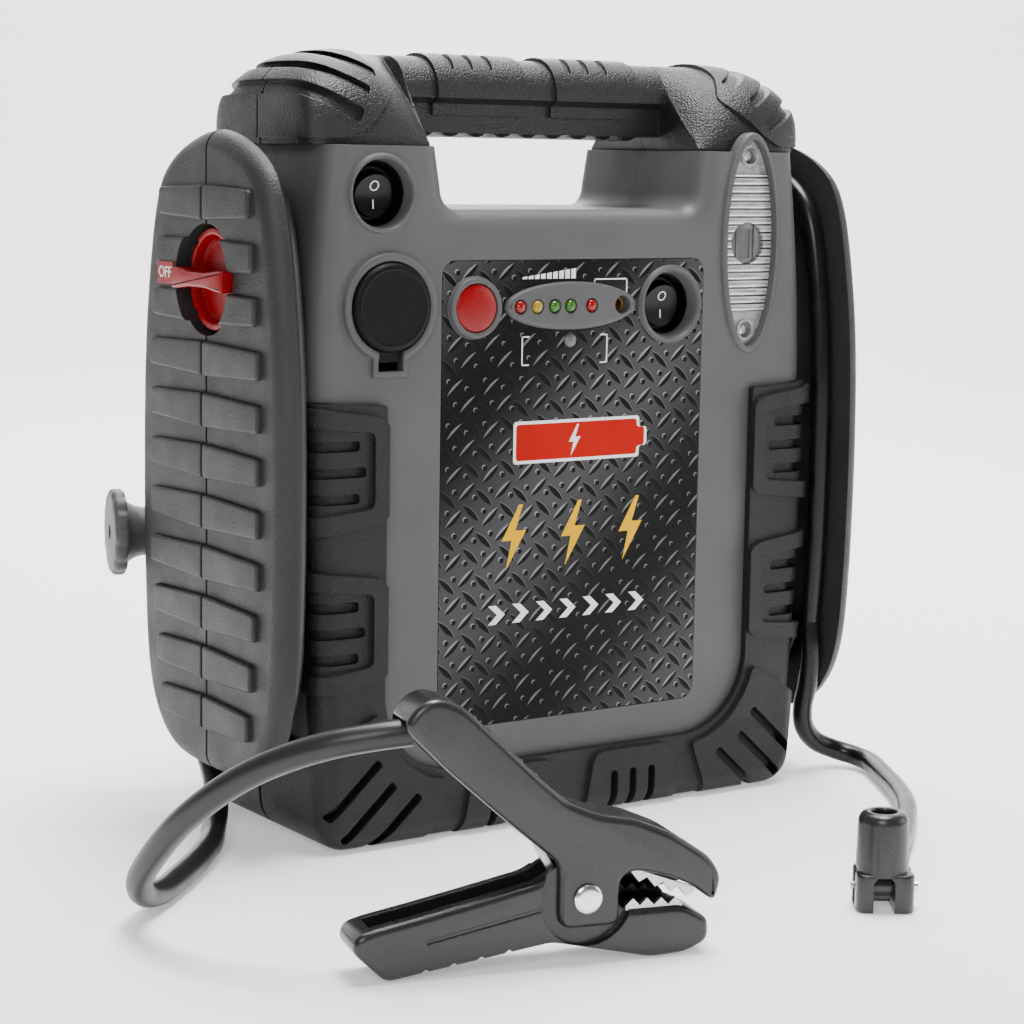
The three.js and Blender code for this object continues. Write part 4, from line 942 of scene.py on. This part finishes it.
def joined(drawings):
    """Separate drawings in one mesh, without a boolean."""
    vertices, faces = [], []
    for drawing in drawings:
        start = len(vertices)
        vertices += [v.co.copy() for v in drawing.data.vertices]
        faces += [tuple(start + i for i in p.vertices) for p in drawing.data.polygons]
        bpy.data.objects.remove(drawing)
    return from_faces(vertices, faces)


place(front_housing(), "front_shell", "unit", "housing", ("front_housing",))
place(rear_housing(), "rear_shell", "unit", "housing", ("rear_housing",))
place(gauge_case(), "gauge_case", "unit", "switch_black", ("pressure_gauge",))
dial = rod(GAUGE_R - 2.6, BULGE_REAR - 4.05, BULGE_REAR - 3.85, "Y", (GAUGE_X, 0, GAUGE_Z), 72)
place(dial, "gauge_dial", "unit", "switch_black", material="white_print")
place(gauge_marks(), "gauge_ticks", "unit", "switch_black")
place(gauge_needle(), "gauge_needle", "unit", "switch_black", material="red_button")
post = parking_post()
place(flipped(post), "right_post", "unit", "reel", ("right_parking_post",), "post")
place(post, "left_post", "unit", "reel", ("left_parking_post",), "post")


# ---- bumpers -----------------------------------------------------------------------------------
SIDE_FRAMES = ((133.0, 174.5), (69.3, 110.0))
GUARD_SLOTS = ((106, 27.5), (99, 17.5), (87, 11.5))


def through(outline):
    """An outline of the front view, drawn through everything in front of the seam."""
    return prism(outline, "Y", -70, -1)


def side_frame(low, high):
    edge = WINDOW_X - 1
    outer = softened([(135, low - 5), (edge + 4, low), (edge, low + 4), (edge, high - 4),
                      (edge + 5, high + 1), (135, high + 6)], 4)
    inner = softened([(140, low + 2), (edge + 8, low + 6), (edge + 8, high - 5), (140, high - 1)], 3.5)
    return cut(through(outer), prism(inner, "Y", -71, 0))


def side_slots(low, high):
    middle = (low + high) / 2
    starts = (106, 103, 106)
    return [through(rectangle(start, 145, middle + offset - 2.1, middle + offset + 2.1, 1.6, 4))
            for start, offset in zip(starts, (-10.5, 0, 10.5))]


def corner_guard():
    return through(softened([(74, -4), (63, 25), (73, 27), (84, 34), (92, 44), (97, 56), (135, 33),
                             (135, -4)], 3))


def corner_slots():
    return [shifted(turned(through(rectangle(-13, 19, -2.0, 2.0, 1.4, 4)), 42, "Y"), x, 0, z)
            for x, z in GUARD_SLOTS]


def base_frame(centre):
    outer = softened([(centre - 26, -4), (centre - 21, 24), (centre - 17, 27), (centre + 17, 27),
                      (centre + 21, 24), (centre + 26, -4)], 3)
    return through(outer)


def base_slots(centre):
    return [through(rectangle(centre + x - 1.9, centre + x + 1.9, -8, 18, 1.7, 4)) for x in (-10, 0, 10)]


def front_bumper():
    pieces = [side_frame(*span) for span in SIDE_FRAMES] + [corner_guard(), base_frame(31)]
    frames = both_sides(add(*pieces))
    slots = [s for span in SIDE_FRAMES for s in side_slots(*span)] + corner_slots() + base_slots(31)
    slot_cuts = both_sides(add(*slots))
    cut(slot_cuts, plain_form(-0.6, BUMPER_PROUD - 2.4))
    body = add(plain_form(1, BUMPER_PROUD), common(plain_form(2.8, BUMPER_RAISED), frames))
    housing_room = body_form(1.5, -FACE + GAP, BODY_BASE - GAP)
    cut(body, prism(window_outline(GAP), "Y", -70, 70), slot_cuts, housing_room)
    for side in (-1, 1):
        x0, x1 = sorted((side * 110, side * 200))
        cut(body, block(x0, x1, -40, 40, 42, 300))
        screw = rod(3.1, -60, -46, "Y", (side * 82, 0, 49), 32)
        cut(body, screw)
    cut(body, slab(ARM_TOP + 2, OVER), slab(-30, 0))
    return common(body, half_space(True))


bumper = front_bumper()
bulge_room = BULGE_HALF + GAP
rear_side = cut(flipped(bumper, "Y"), block(-bulge_room, bulge_room, 30, 200, BULGE_LOW - GAP, OVER))
place(rear_side, "rear_guard", "unit", "bumper", ("rear_bumper",))
place(bumper, "front_guard", "unit", "bumper", ("front_bumper",))


# ---- carrying handle ---------------------------------------------------------------------------
def blended(rows, steps):
    """Rows of numbers on a smooth curve through the given rows."""
    padded = [rows[0]] + list(rows) + [rows[-1]]
    result = []
    for a, b, c, d in zip(padded, padded[1:], padded[2:], padded[3:]):
        for k in range(steps):
            result.append([on_curve(*four, k / steps) for four in zip(a, b, c, d)])
    result.append(list(rows[-1]))
    return result


def handle_ring(x, foot, half, widest, top, square, bottom, grow):
    side = [(foot + grow, bottom + (widest - bottom) * i / 6) for i in range(6)]
    steps = 16
    for i in range(steps):
        angle = i / steps * math.pi / 2
        side.append(((half + grow) * math.cos(angle) ** (2 / square),
                     widest + (top + grow - widest) * math.sin(angle) ** (2 / square)))
    ring = side + [(0, top + grow)] + [(-y, z) for y, z in reversed(side)]
    return [(x, y, z) for y, z in ring]


def handle_form(grow=0.0, lift=0.0):
    ends = [(x + grow, foot, half, HANDLE_BOTTOM + 0.5, top, square, HANDLE_FOOT + lift)
            for x, foot, half, top, square in HANDLE_STATIONS]
    rows = blended(ends, 6)
    rows += [(x, 13, 17.5, 301, HANDLE_TOP, 2.2, BAR_BOTTOM + lift) for x in (66.4, 40)]
    rows += [(-row[0], *row[1:]) for row in reversed(rows)]
    return loft([handle_ring(*row, grow) for row in rows])


def grip_collar(centre):
    """A raised pad over the bar, with a rounded inner panel and three slanted slots."""
    left, right = centre - 22, centre + 22
    pad = prism(softened([(left, -30), (right, -30), (right, 30), (left, 30)], 6), "Z", 294, 330)
    collar = common(handle_form(1.5), pad)
    for x in (-9.5, 0, 9.5):
        slot = prism(rectangle(-1.5, 1.5, -16, 16, 1.2, 4), "Z", 303, 330)
        cut(collar, shifted(turned(slot, -16, "Z"), centre + x, 0, 0))
    return collar


def handle_guard():
    chevron = softened([(-140, 283.5), (-109, 283.5), (-100, 288), (-82, 303.5), (-88, 314), (-90, 330),
                        (-140, 330)], 3)
    guard = common(handle_form(1.6), prism(chevron, "Y", -60, 60))
    for x, z, length, half in ((-110, 296.4, 34, 3.0), (-104.5, 306.2, 30, 2.0), (-97, 313.4, 22, 2.0)):
        slot = prism(rectangle(-length, 9, -half, half, 1.2, 4), "Y", -70, 70)
        cut(guard, shifted(turned(slot, 28, "Y"), x, 0, z))
    return guard


def handle_cover():
    cover = handle_form()
    for i in range(9):
        ridge = prism(ellipse(-52 + 13 * i, 292.0, 7, 7, 32), "Y", -12.5, 12.5, 4.5, 4.5, 5)
        add(cover, ridge)
    guard = handle_guard()
    add(cover, grip_collar(-29.5), grip_collar(29.5), flipped(guard), guard)
    for side in (-1, 1):
        x0, x1 = sorted((side * 116, side * 140))
        cut(cover, block(x0, x1, -0.55, 0.55, 200, 330))
        cut(cover, rod(1.3, x0, x1, "X", (0, 0, 300.5), 24))
    rim = prism(ellipse(LAMP_X, LAMP_Z, RIM_A + GAP, RIM_B + GAP), "Y", OUT, IN)
    return cut(cover, rim, slab(200, HANDLE_FOOT))


cover = handle_cover()
rear_cover = common(copy(cover), half_space(False))
place(common(cover, half_space(True)), "handle_front", "unit", "grip", ("handle_front_cover",))
place(rear_cover, "handle_rear", "unit", "grip", ("handle_rear_cover",))


# ---- reels -------------------------------------------------------------------------------------
def tread_block(row):
    z = 257.8 - row * 20.5
    narrow = min(1.0, 0.82 + 0.06 * min(row, 10 - row))
    reach = 46 * narrow
    half = softened([(0.01, z - 7), (reach, z - 5.5), (reach, z + 5.5), (0.01, z + 7)], 2.2)
    pad = prism(half, "X", REEL_FACE - 1, REEL_TREAD - 0.02, 0, 1.3, 5)
    return add(pad, flipped(pad, "Y"))


def reel_half():
    disc = prism(reel_outline(0), "X", REEL_INNER - 9, REEL_FACE, 0, REEL_BEVEL, 10)
    cut(disc, block(100, REEL_INNER, -100, 100, 0, 400))
    drum = prism(reel_outline(DRUM_INSET, 90), "X", 112, REEL_INNER + 2)
    add(disc, drum, *[tread_block(row) for row in range(11)])
    cut(disc, block(REEL_FACE - 7, 160, -0.75, 0.75, 0, 400))
    return cut(disc, body_form(-GAP, -FACE + GAP), plain_form(1 + GAP, BUMPER_PROUD))


right_reel = reel_half()
left_reel = flipped(right_reel)
cut(left_reel, rod(22.2, -175, -134.3, "X", (0, 0, SWITCH_Z), 96))
for reel, side in ((left_reel, "left"), (right_reel, "right")):
    rear_half = common(copy(reel), half_space(False))
    place(common(reel, half_space(True)), side + "_reel_front_shell", "unit", "reel", (side + "_reel_front",))
    place(rear_half, side + "_reel_rear_shell", "unit", "reel", (side + "_reel_rear",))


# ---- rotary master switch ----------------------------------------------------------------------
def master_knob():
    profile = [(0, 1.8), (15.2, 1.8), (16.4, 2.6), (17.2, 4.8), (17.8, 5.8), (18.6, 6.0), (20.0, 5.9),
               (20.4, 5.4), (20.4, 3.0), (19.6, -0.8), (8, -0.8), (8, -3.8), (0, -3.8)]
    bowl = lathe(profile, "Y", (0, 0, 0), 80)
    for angle in (45, 135, 225, 315):
        notch = block(-1.5, 1.5, 3.4, 8, 18.4, 23)
        cut(bowl, turned(notch, angle, "Y"))
    edge = [(-21.3, -4.4), (-15, -4), (-7, -3), (7, -3), (15, -4), (21.3, -4.4)]
    grip = softened(edge + [(-u, -v) for u, v in edge], 1.2)
    bar = prism(grip, "Y", 0.5, 14, 0, 1.4, 5)
    cut(bar, block(17.4, 30, -1, 7.6, -10, 10), block(-30, -17.4, -1, 7.6, -10, 10))
    add(bowl, bar)
    turned(bowl, 90, "Z")
    return shifted(bowl, -138.7, 0, SWITCH_Z)


def lettering(text, size, depth):
    """Plain letters, drawn in the XZ plane and facing -Y, centred on the origin."""
    data = bpy.data.curves.new("letters", "FONT")
    data.body, data.size, data.extrude = text, size, depth
    data.align_x, data.align_y = "CENTER", "CENTER"
    source = bpy.data.objects.new("letters", data)
    bpy.context.scene.collection.objects.link(source)
    depsgraph = bpy.context.evaluated_depsgraph_get()
    mesh = bpy.data.meshes.new_from_object(source.evaluated_get(depsgraph))
    bpy.data.objects.remove(source)
    drawing = bpy.data.objects.new("drawing", mesh)
    bpy.context.scene.collection.objects.link(drawing)
    return turned(drawing, 90, "X")


place(master_knob(), "master_knob_moulding", "master_knob", "red_button", ("master_switch_knob",),
      smooth=14)
off_letters = shifted(turned(lettering("OFF", 6.4, 0.06), -90, "Z"), -REEL_TREAD - 0.62, 30, SWITCH_Z + 1.5)
place(off_letters, "off_letters", "unit", "red_button", material="white_print")


# ---- switches, button and lamps ----------------------------------------------------------------
ROCKER_MIDDLE, ROCKER_RISE = 6.4, 1.6


def rocker_radius(spec):
    return spec["well"] - 2.5


def rocker_front(u):
    """How far the rocker's front stands out, u of the way from its middle to its upper or lower end."""
    return -ROCKER_MIDDLE - ROCKER_RISE * abs(u) ** 1.6


def rocker(spec):
    """A round rocker with a shallow V across its front."""
    r = rocker_radius(spec)
    button = rod(r, 0, -9, "Y", (0, 0, 0), 72)
    side = [(1, r + 1), (1, -r - 1)] + [(rocker_front(i / 10), r * i / 10) for i in range(-12, 13)]
    return common(button, prism(side, "X", -r - 2, r + 2))


def rocker_marks(spec):
    """The circle and the bar printed on the rocker, each lying on its half of the front."""
    r = rocker_radius(spec)
    disc = rod(2.1, -0.12, 0.2, "Y", (0, 0, 0), 48)
    circle = cut(disc, rod(1.62, -1, 1, "Y", (0, 0, 0), 48))
    bar = block(-0.26, 0.26, -0.12, 0.2, -1.8, 1.8)
    for mark, u in ((circle, 0.45), (bar, -0.42)):
        slope = ROCKER_RISE * 1.6 * abs(u) ** 0.6 / r
        turned(mark, math.copysign(math.degrees(math.atan(slope)), u), "X")
        shifted(mark, 0, rocker_front(u), u * r)
    return joined([circle, bar])


for spec, name in ((POWER, "power_rocker"), (LIGHT, "light_rocker")):
    place(switch_sleeve(spec), name + "_sleeve", "unit", "switch_black")
    for drawing, piece, replaced, paint in (
            (rocker(spec), name + "_cap", (name,), "switch_black"),
            (rocker_marks(spec), name + "_marks", (), "white_print")):
        turned(drawing, 7, "X")
        shifted(drawing, spec["x"], FACE + 13, spec["z"])
        place(drawing, piece, name + "_body", "switch_black", replaced, paint)


def dome(x, z, radius, front, rise, back):
    profile = [(0, back), (radius, back), (radius, front + rise)]
    profile += [(radius * math.cos(math.radians(a)), front + rise - rise * math.sin(math.radians(a)))
                for a in range(10, 90, 10)]
    profile.append((0, front))
    return lathe(profile, "Y", (x, 0, z), 48)


place(dome(BUTTON_X, CONTROL_Z, BUTTON_R, FACE - 3.0, 1.3, FACE + 8), "check_button_cap", "check_button",
      "red_button", ("battery_check_button",))
for lamp, (x, slot_name) in LAMPS.items():
    place(dome(x, CONTROL_Z, LAMP_R, FACE - 3.6, 2.4, FACE + 6), lamp + "_dome", "unit", slot_name, (lamp,))
place(dome(POLARITY_X, POLARITY_Z, 3.0, FACE - 2.0, 2.0, FACE + 0.6), "polarity_dome", "unit", "clear_lens",
      ("polarity_lamp",), "smoked_dome")


def jack_barrel():
    """The brass sleeve and its pin, deep in the charging jack's hole."""
    y, at = FACE, (JACK_X, 0, CONTROL_Z)
    sleeve = lathe([(0, y + 2.4), (3.3, y + 2.4), (3.75, y + 2.9), (3.75, y + 14), (0, y + 14)], "Y", at, 40)
    cut(sleeve, lathe([(0, y), (2.7, y), (2.5, y + 12), (0, y + 12)], "Y", at, 40))
    pin = lathe([(0, y + 4.2), (0.8, y + 4.8), (0.8, y + 13), (0, y + 13)], "Y", at, 24)
    return add(sleeve, pin)


place(jack_barrel(), "jack_barrel", "unit", "brass", ("charge_jack",))


def socket_cap():
    r, y = SOCKET_CAP, FACE
    profile = [(0, y - 3.4), (14.6, y - 3.5), (15.2, y - 3.9), (16.2, y - 3.7), (17.4, y - 2.6),
               (r, y - 1.2), (r, y + 3), (8, y + 3), (8, y + 6.4), (0, y + 6.4)]
    lid = lathe(profile, "Y", (SOCKET_X, 0, SOCKET_Z), 96)
    strap = block(SOCKET_X - 5, SOCKET_X + 5, FACE - 0.4, FACE + 1.8, SOCKET_Z - 21.6, SOCKET_Z - r + 2)
    return add(lid, strap)


place(socket_cap(), "socket_lid", "socket_cap", "cap_rubber", ("dc_socket_cap",))


# ---- print on the label ------------------------------------------------------------------------
def flat_print(outline, level=0.0):
    """Ink on the label: a shape of the front view, a hair thick."""
    return prism(outline, "Y", FACE - 0.07 - level, FACE + 0.1)


LINE_WIDTH = 0.55


def line_print(x0, z0, x1, z1):
    """A straight line of print, level or upright."""
    half = LINE_WIDTH / 2
    left, right = min(x0, x1) - half, max(x0, x1) + half
    low, high = min(z0, z1) - half, max(z0, z1) + half
    return flat_print([(left, low), (right, low), (right, high), (left, high)])


def label_marks():
    marks = [flat_print([(x, 228.2), (x + 2.3, 228.2), (x + 2.3, 229.3 + i * 0.39), (x, 228.9 + i * 0.39)])
             for i, x in enumerate(-27.6 + 3.05 * k for k in range(9))]
    corners = [(8.8, 225.6), (8.8, 227.7), (25.5, 227.7), (25.5, 221.2)]
    marks += [line_print(*a, *b) for a, b in zip(corners, corners[1:])]
    for side in (-1, 1):
        x = POLARITY_X + (-24 if side < 0 else 19)
        marks += [line_print(x, 193, x, 204.6), line_print(x, 204.6, x - side * 3.2, 204.6),
                  line_print(x, 193, x - side * 3.2, 193)]
    return marks


place(joined(label_marks()), "label_marks", "unit", "label", material="white_print")


def battery_mark(x, z, half, tall, edge):
    """A plain battery sign, lying on its side."""
    end, top, tip = half + edge, tall + edge, half + 4 + edge
    corners = [(-end, -top), (end, -top), (end, -4), (tip, -4), (tip, 4), (end, 4), (end, top), (-end, top)]
    outline = softened([(x + u, z + v) for u, v in corners], 1.6)
    return flat_print(outline, 0.04 if edge == 0 else 0.0)


def bolt_mark(x, z, size):
    bolt = [(6, 30), (-13, -3), (-2, -3), (-8, -30), (14, 6), (2, 6), (10, 30)]
    return flat_print([(x + u * size, z + v * size) for u, v in bolt], 0.08)


place(battery_mark(1.5, 161, 31, 7.5, 1.3), "battery_sign_edge", "unit", "label", material="white_print")
place(battery_mark(1.5, 161, 31, 7.5, 0), "battery_sign", "unit", "label", material="red_print")
place(bolt_mark(0, 161, 0.22), "battery_sign_bolt", "unit", "label", material="white_print")
place(joined([bolt_mark(x, 122, 0.45) for x in (-30, 0, 30)]), "bolt_signs", "unit", "label",
      material="yellow_print")
CHEVRON = ((0, -4), (1.2, -4), (2.6, 0), (1.2, 4), (0, 4), (1.4, 0))
puffs = [flat_print([(x + 3.2 * u, 90 + v) for u, v in CHEVRON]) for x in range(-42, 31, 12)]
place(joined(puffs), "air_signs", "unit", "label", material="white_print")


# ---- work light --------------------------------------------------------------------------------
BEAM_R, BOSS_R = 9.0, 4.7


def ribbed_insert():
    """The moulding in the work light's opening: ribs across it, a round window, two screw bosses."""
    front = -45.2
    side = [(-40.0, -60.0), (front + 0.7, -60.0), (front + 0.7, -RIB_REACH)]
    steps = int(2 * RIB_REACH / RIB_PITCH) * 6
    for i in range(steps + 1):
        z = -RIB_REACH + 2 * RIB_REACH * i / steps
        side.append((front + 0.75 - 0.75 * abs(math.sin(math.pi * (z + RIB_REACH) / RIB_PITCH)), z))
    side += [(front + 0.7, RIB_REACH), (front + 0.7, 60.0), (-40.0, 60.0)]
    ribs = shifted(prism(side, "X", -20, 20), LAMP_X, 0, LAMP_Z)
    insert = common(ribs, prism(ellipse(LAMP_X, LAMP_Z, LENS_A - 0.25, LENS_B - 0.25), "Y", OUT, IN))
    window = prism(ellipse(LAMP_X, LAMP_Z, BEAM_R, BEAM_R, 64), "Y", -60, -42.6)
    cut(insert, window)
    for sign in (-1, 1):
        at = (LAMP_X, 0, LAMP_Z + sign * LENS_SCREW)
        add(insert, rod(BOSS_R, front - 0.2, -41, "Y", at, 40))
        cut(insert, lathe([(0, -60), (BOSS_R - 0.9, -60), (BOSS_R - 1.2, -42), (0, -42)], "Y", at, 40))
    return insert


def beam_window():
    """The lamp seen through the round window: a grey block between two bright posts."""
    x, z = LAMP_X, LAMP_Z
    disc = prism(ellipse(x, z, BEAM_R - 0.1, BEAM_R - 0.1, 64), "Y", -43.6, -42.4, 0.3, 0, 3)
    return cut(disc, block(x - 3.4, x + 2.2, -44, -43.2, z - 6.5, z + 5.5),
               block(x + 3.6, x + 4.6, -44, -43.0, z - 8, z + 8),
               block(x - 5.9, x - 5.2, -44, -43.0, z - 8, z + 8))


def lens_screw(z):
    at = (LAMP_X, 0, z)
    profile = [(0, -43.6), (1.6, -43.5), (2.5, -43.0), (2.7, -42.4), (1.2, -42.3), (1.2, IN), (0, IN)]
    head = lathe(profile, "Y", at, 32)
    cut(head, block(LAMP_X - 1.6, LAMP_X + 1.6, -45, -43.0, z - 0.35, z + 0.35))
    return cut(head, block(LAMP_X - 0.35, LAMP_X + 0.35, -45, -43.0, z - 1.6, z + 1.6))


for name, sign in (("upper_lens_screw", 1), ("lower_lens_screw", -1)):
    place(lens_screw(LAMP_Z + sign * LENS_SCREW), name + "_head", "unit", "steel", (name,))
place(ribbed_insert(), "ribbed_insert", "unit", "reflector",
      ("work_light_reflector", "work_light_lens", "work_light_board"))
place(beam_window(), "beam_window", "unit", "clear_lens", material="smoked_dome")


# ---- battery clamp -----------------------------------------------------------------------------
def in_clamp(drawing):
    turned(drawing, CLAMP_TURN, "Z")
    return shifted(drawing, CLAMP_X, CLAMP_Y, 0)


def rivet_disc(radius, low, high):
    return rod(radius, low, high, "Y", (RIVET_S, 0, RIVET_Z), 48)


def upper_handle():
    outline = softened([
        (5.4, 87.7), (9.5, 94.2), (15.6, 97.4), (22, 96), (28.5, 92.2), (36, 85), (44.5, 76.8), (55.4, 66.4),
        (65, 58), (76.5, 53), (90, 50.5), (104, 44.5), (119, 34.5), (123.5, 27), (121, 17.7), (113, 24.2),
        (104, 28.4), (94, 31.2), (88.5, 31.6), (84.7, 28.6), (84.7, 14.6), (82.5, 12.9), (65, 12.9),
        (62, 16), (62, 36.5), (40, 55), (21, 72)], 3.5, 5)
    handle = prism(outline, "Y", -10.5, 10.5, 2.6, 2.6, 6)
    channel = [(1, 76), (1, 87), (11, 91.2), (21, 91), (38, 77.6), (54, 62), (66, 53.6), (77, 49), (88, 46.6),
               (88, 26), (88, 5), (55, 5), (55, 30), (20, 60)]
    cut(handle, prism(channel, "Y", -7.7, 7.7), rivet_disc(2.9, -20, 20))
    cut(handle, prism([(88, 20), (116, 12), (117.5, 24), (105, 31.5), (88, 34)], "Y", -6.8, 6.8))
    for i in range(5):
        s, z = 30.5 + 5.6 * i, 88.6 - 5.35 * i
        rib = prism(ellipse(s, z, 1.7, 1.7, 20), "Y", -7.6, 7.6, 1.2, 1.2, 3)
        add(handle, rib)
    pad = shifted(turned(prism(ellipse(0, 0, 7.5, 4.6, 48), "Z", -2, 12), 28, "Y"), 105, 0, 43.5)
    cut(handle, pad)
    window = shifted(turned(block(-2.2, 2.2, -3.2, 3.2, -8, 12), 28, "Y"), 117, 0, 33)
    cut(handle, window)
    cheek_edge = softened([(63.4, 14.4), (82, 14.4), (83.4, 16), (83.4, 33), (63.4, 33)], 3)
    cheek = prism(cheek_edge, "Y", -11.0, -9.6, 0.5, 0, 3)
    return in_clamp(add(handle, common(cheek, block(0, 200, -10.5, 0, 0, 100))))


def lower_handle():
    outline = softened([
        (-12, 11.6), (-10.5, 17), (-3.8, 18.9), (10, 21.4), (30, 25.4), (54, 30.4), (62, 35.2), (82, 35.2),
        (85, 26), (85, 18), (108.5, 18), (118.7, 12.4), (118.7, 4.3), (110, 0.6), (97, 0), (60, 8.5), (0, 0)],
        3.0, 5)
    handle = prism(outline, "Y", -10.5, 10.5, 2.4, 2.4, 6)
    tray = [(-5, 15.4), (-5, 40), (88, 40), (88, 22), (80, 13), (60, 12), (3, 4.2)]
    cut(handle, prism(tray, "Y", -5, 5), rivet_disc(17.2, 7.4, 20), rivet_disc(17.2, -20, -7.4),
        rivet_disc(2.9, -20, 20))
    for s in (14, 24, 34, 44):
        cut(handle, prism(ellipse(s, -0.2 + 0.14 * s, 1.5, 1.8, 20), "Y", -20, 20))
    groove = prism(softened([(14, 12.2), (61, 21.2), (61, 22.8), (14, 13.8)], 0.6), "Y", -12, -9.9)
    return in_clamp(cut(handle, groove))


def saw_strip(start, end, teeth, drop, back, y0, y1):
    """A folded metal strip with a toothed edge along a line of the clamp's side view."""
    (s0, z0), (s1, z1) = start, end
    edge = []
    for i in range(teeth):
        t, u = i / teeth, (i + 0.5) / teeth
        edge.append((s0 + (s1 - s0) * t, z0 + (z1 - z0) * t))
        edge.append((s0 + (s1 - s0) * u, z0 + (z1 - z0) * u + drop))
    edge.append((s1, z1))
    return prism(edge + [(s1, z1 + back), (s0, z0 + back)], "Y", y0, y1)


place(upper_handle(), "clamp_upper_moulding", "unit", "clamp_plastic", ("clamp_upper_handle",))
place(lower_handle(), "clamp_lower_moulding", "clamp_lower", "clamp_plastic", ("clamp_lower_handle",))
lower_teeth = saw_strip((87.4, 19.2), (108.8, 18.2), 4, 2.6, -1.8, -8.6, -6.6)
liner = saw_strip((86.8, 22.6), (105.6, 20.2), 4, 2.4, -5.0, 2.0, 6.4)
upper_teeth = saw_strip((90.0, 30.6), (114.2, 21.6), 4, -2.6, 1.6, -6.6, -4.6)
place(in_clamp(lower_teeth), "clamp_lower_teeth", "clamp_lower", "steel", ("clamp_lower_jaw",))
place(in_clamp(liner), "clamp_lower_liner", "clamp_lower", "clamp_plastic", material="switch_black")
place(in_clamp(upper_teeth), "clamp_upper_teeth", "unit", "steel", ("clamp_upper_jaw",))
rivet_end = [(0, 12.4), (3.4, 12.35), (4.6, 12.0), (5.2, 11.4), (5.2, 10.8), (2.5, 10.8)]
rivet_profile = [(radius, -height) for radius, height in rivet_end] + rivet_end[::-1]
rivet = lathe(rivet_profile, "Y", (RIVET_S, 0, RIVET_Z), 48)
place(in_clamp(rivet), "clamp_rivet_head", "unit", "bright_metal", ("clamp_rivet",))


# ---- tyre-valve connector ----------------------------------------------------------------------
def in_valve(drawing):
    turned(drawing, VALVE_TURN, "Z")
    return shifted(drawing, VALVE_X, VALVE_Y, 0)


def valve_body():
    profile = [(0, 12), (10.0, 12), (9.5, 33), (9.3, 34.4), (8.7, 35.7), (7.8, 36.6), (6.6, 37.1),
               (5.2, 37.1), (4.7, 36.5), (4.4, 26), (0, 26)]
    barrel = lathe(profile, "Z", (0, 0, 0), 64)
    fork = prism(rectangle(-10.2, 11.6, -9.6, 9.6, 4, 8), "Z", 0, 14.6, 0.8, 1.0, 4)
    add(barrel, fork)
    for x in (-10.9, 12.3):
        cut(barrel, block(x - 1.6, x + 1.6, -3, 3, 1.5, 16))
    arch = [(-4, -1), (4, -1), (4, 11.6), (2.4, 13.6), (-2.4, 13.6), (-4, 11.6)]
    cut(barrel, prism(arch, "Y", -20, 20), prism(ellipse(2.3, 15.6, 5.1, 5.1, 40), "Y", 6, 30))
    cut(barrel, rod(1.9, -20, 20, "X", (0, 0, PIN_Z), 32))
    return in_valve(barrel)


place(valve_body(), "valve_connector_moulding", "unit", "clamp_plastic", ("valve_connector_body",))


# ---- studio ------------------------------------------------------------------------------------
def studio():
    """A pale floor that sweeps up behind the object, and soft lights."""
    g = Graph("studio_floor")
    g.drive("Base Color", g.mix(g.noise(0.4), (0.92, 0.92, 0.92, 1), (0.95, 0.95, 0.95, 1)))
    g.fix("Roughness", 0.9)
    g.fix("Specular IOR Level", 0.1)
    g.fix("Emission Color", (1, 1, 1, 1))
    g.fix("Emission Strength", 0.4)
    away = Vector((-math.sin(AZIMUTH), math.cos(AZIMUTH), 0))
    across = Vector((away.y, -away.x, 0))
    profile = [(-9.0, 0.0), (1.6, 0.0)]
    profile += [(1.6 + 1.2 * math.sin(math.radians(a)), 1.2 - 1.2 * math.cos(math.radians(a)))
                for a in range(10, 91, 10)]
    profile.append((2.8, 5.0))
    vertices = [away * reach + across * side + Vector((0, 0, height - 0.0002))
                for side in (-9.0, 9.0) for reach, height in profile]
    count = len(profile)
    floor = from_faces(vertices, [(i, i + 1, count + i + 1, count + i) for i in range(count - 1)])
    floor.name = "studio_floor"
    floor.data.materials.append(g.material)

    world = bpy.data.worlds.new("studio")
    bpy.context.scene.world = world
    world.use_nodes = True
    world.node_tree.nodes["Background"].inputs["Color"].default_value = (1, 1, 1, 1)
    world.node_tree.nodes["Background"].inputs["Strength"].default_value = 0.18
    middle = metres(0, 0, 150)
    sweep = away * 2.5 + Vector((0, 0, 0.9))
    lights = (
        (Vector((-1.25, -1.35, 1.15)), 0.8, 16, middle),
        (Vector((0.10, -0.15, 1.70)), 0.65, 40, middle),
        (Vector((1.35, -0.95, 0.55)), 0.9, 6, middle),
        (Vector((0.7, 1.3, 1.0)), 0.8, 9, middle),
        (away * 1.1 + Vector((0, 0, 2.6)), 2.2, 150, sweep),
    )
    for place_at, size, power, target in lights:
        data = bpy.data.lights.new("softbox", "AREA")
        data.shape, data.size, data.energy = "DISK", size, power
        light = bpy.data.objects.new("softbox", data)
        light.location = place_at
        light.rotation_euler = (target - place_at).to_track_quat("-Z", "Y").to_euler()
        bpy.context.scene.collection.objects.link(light)


studio()
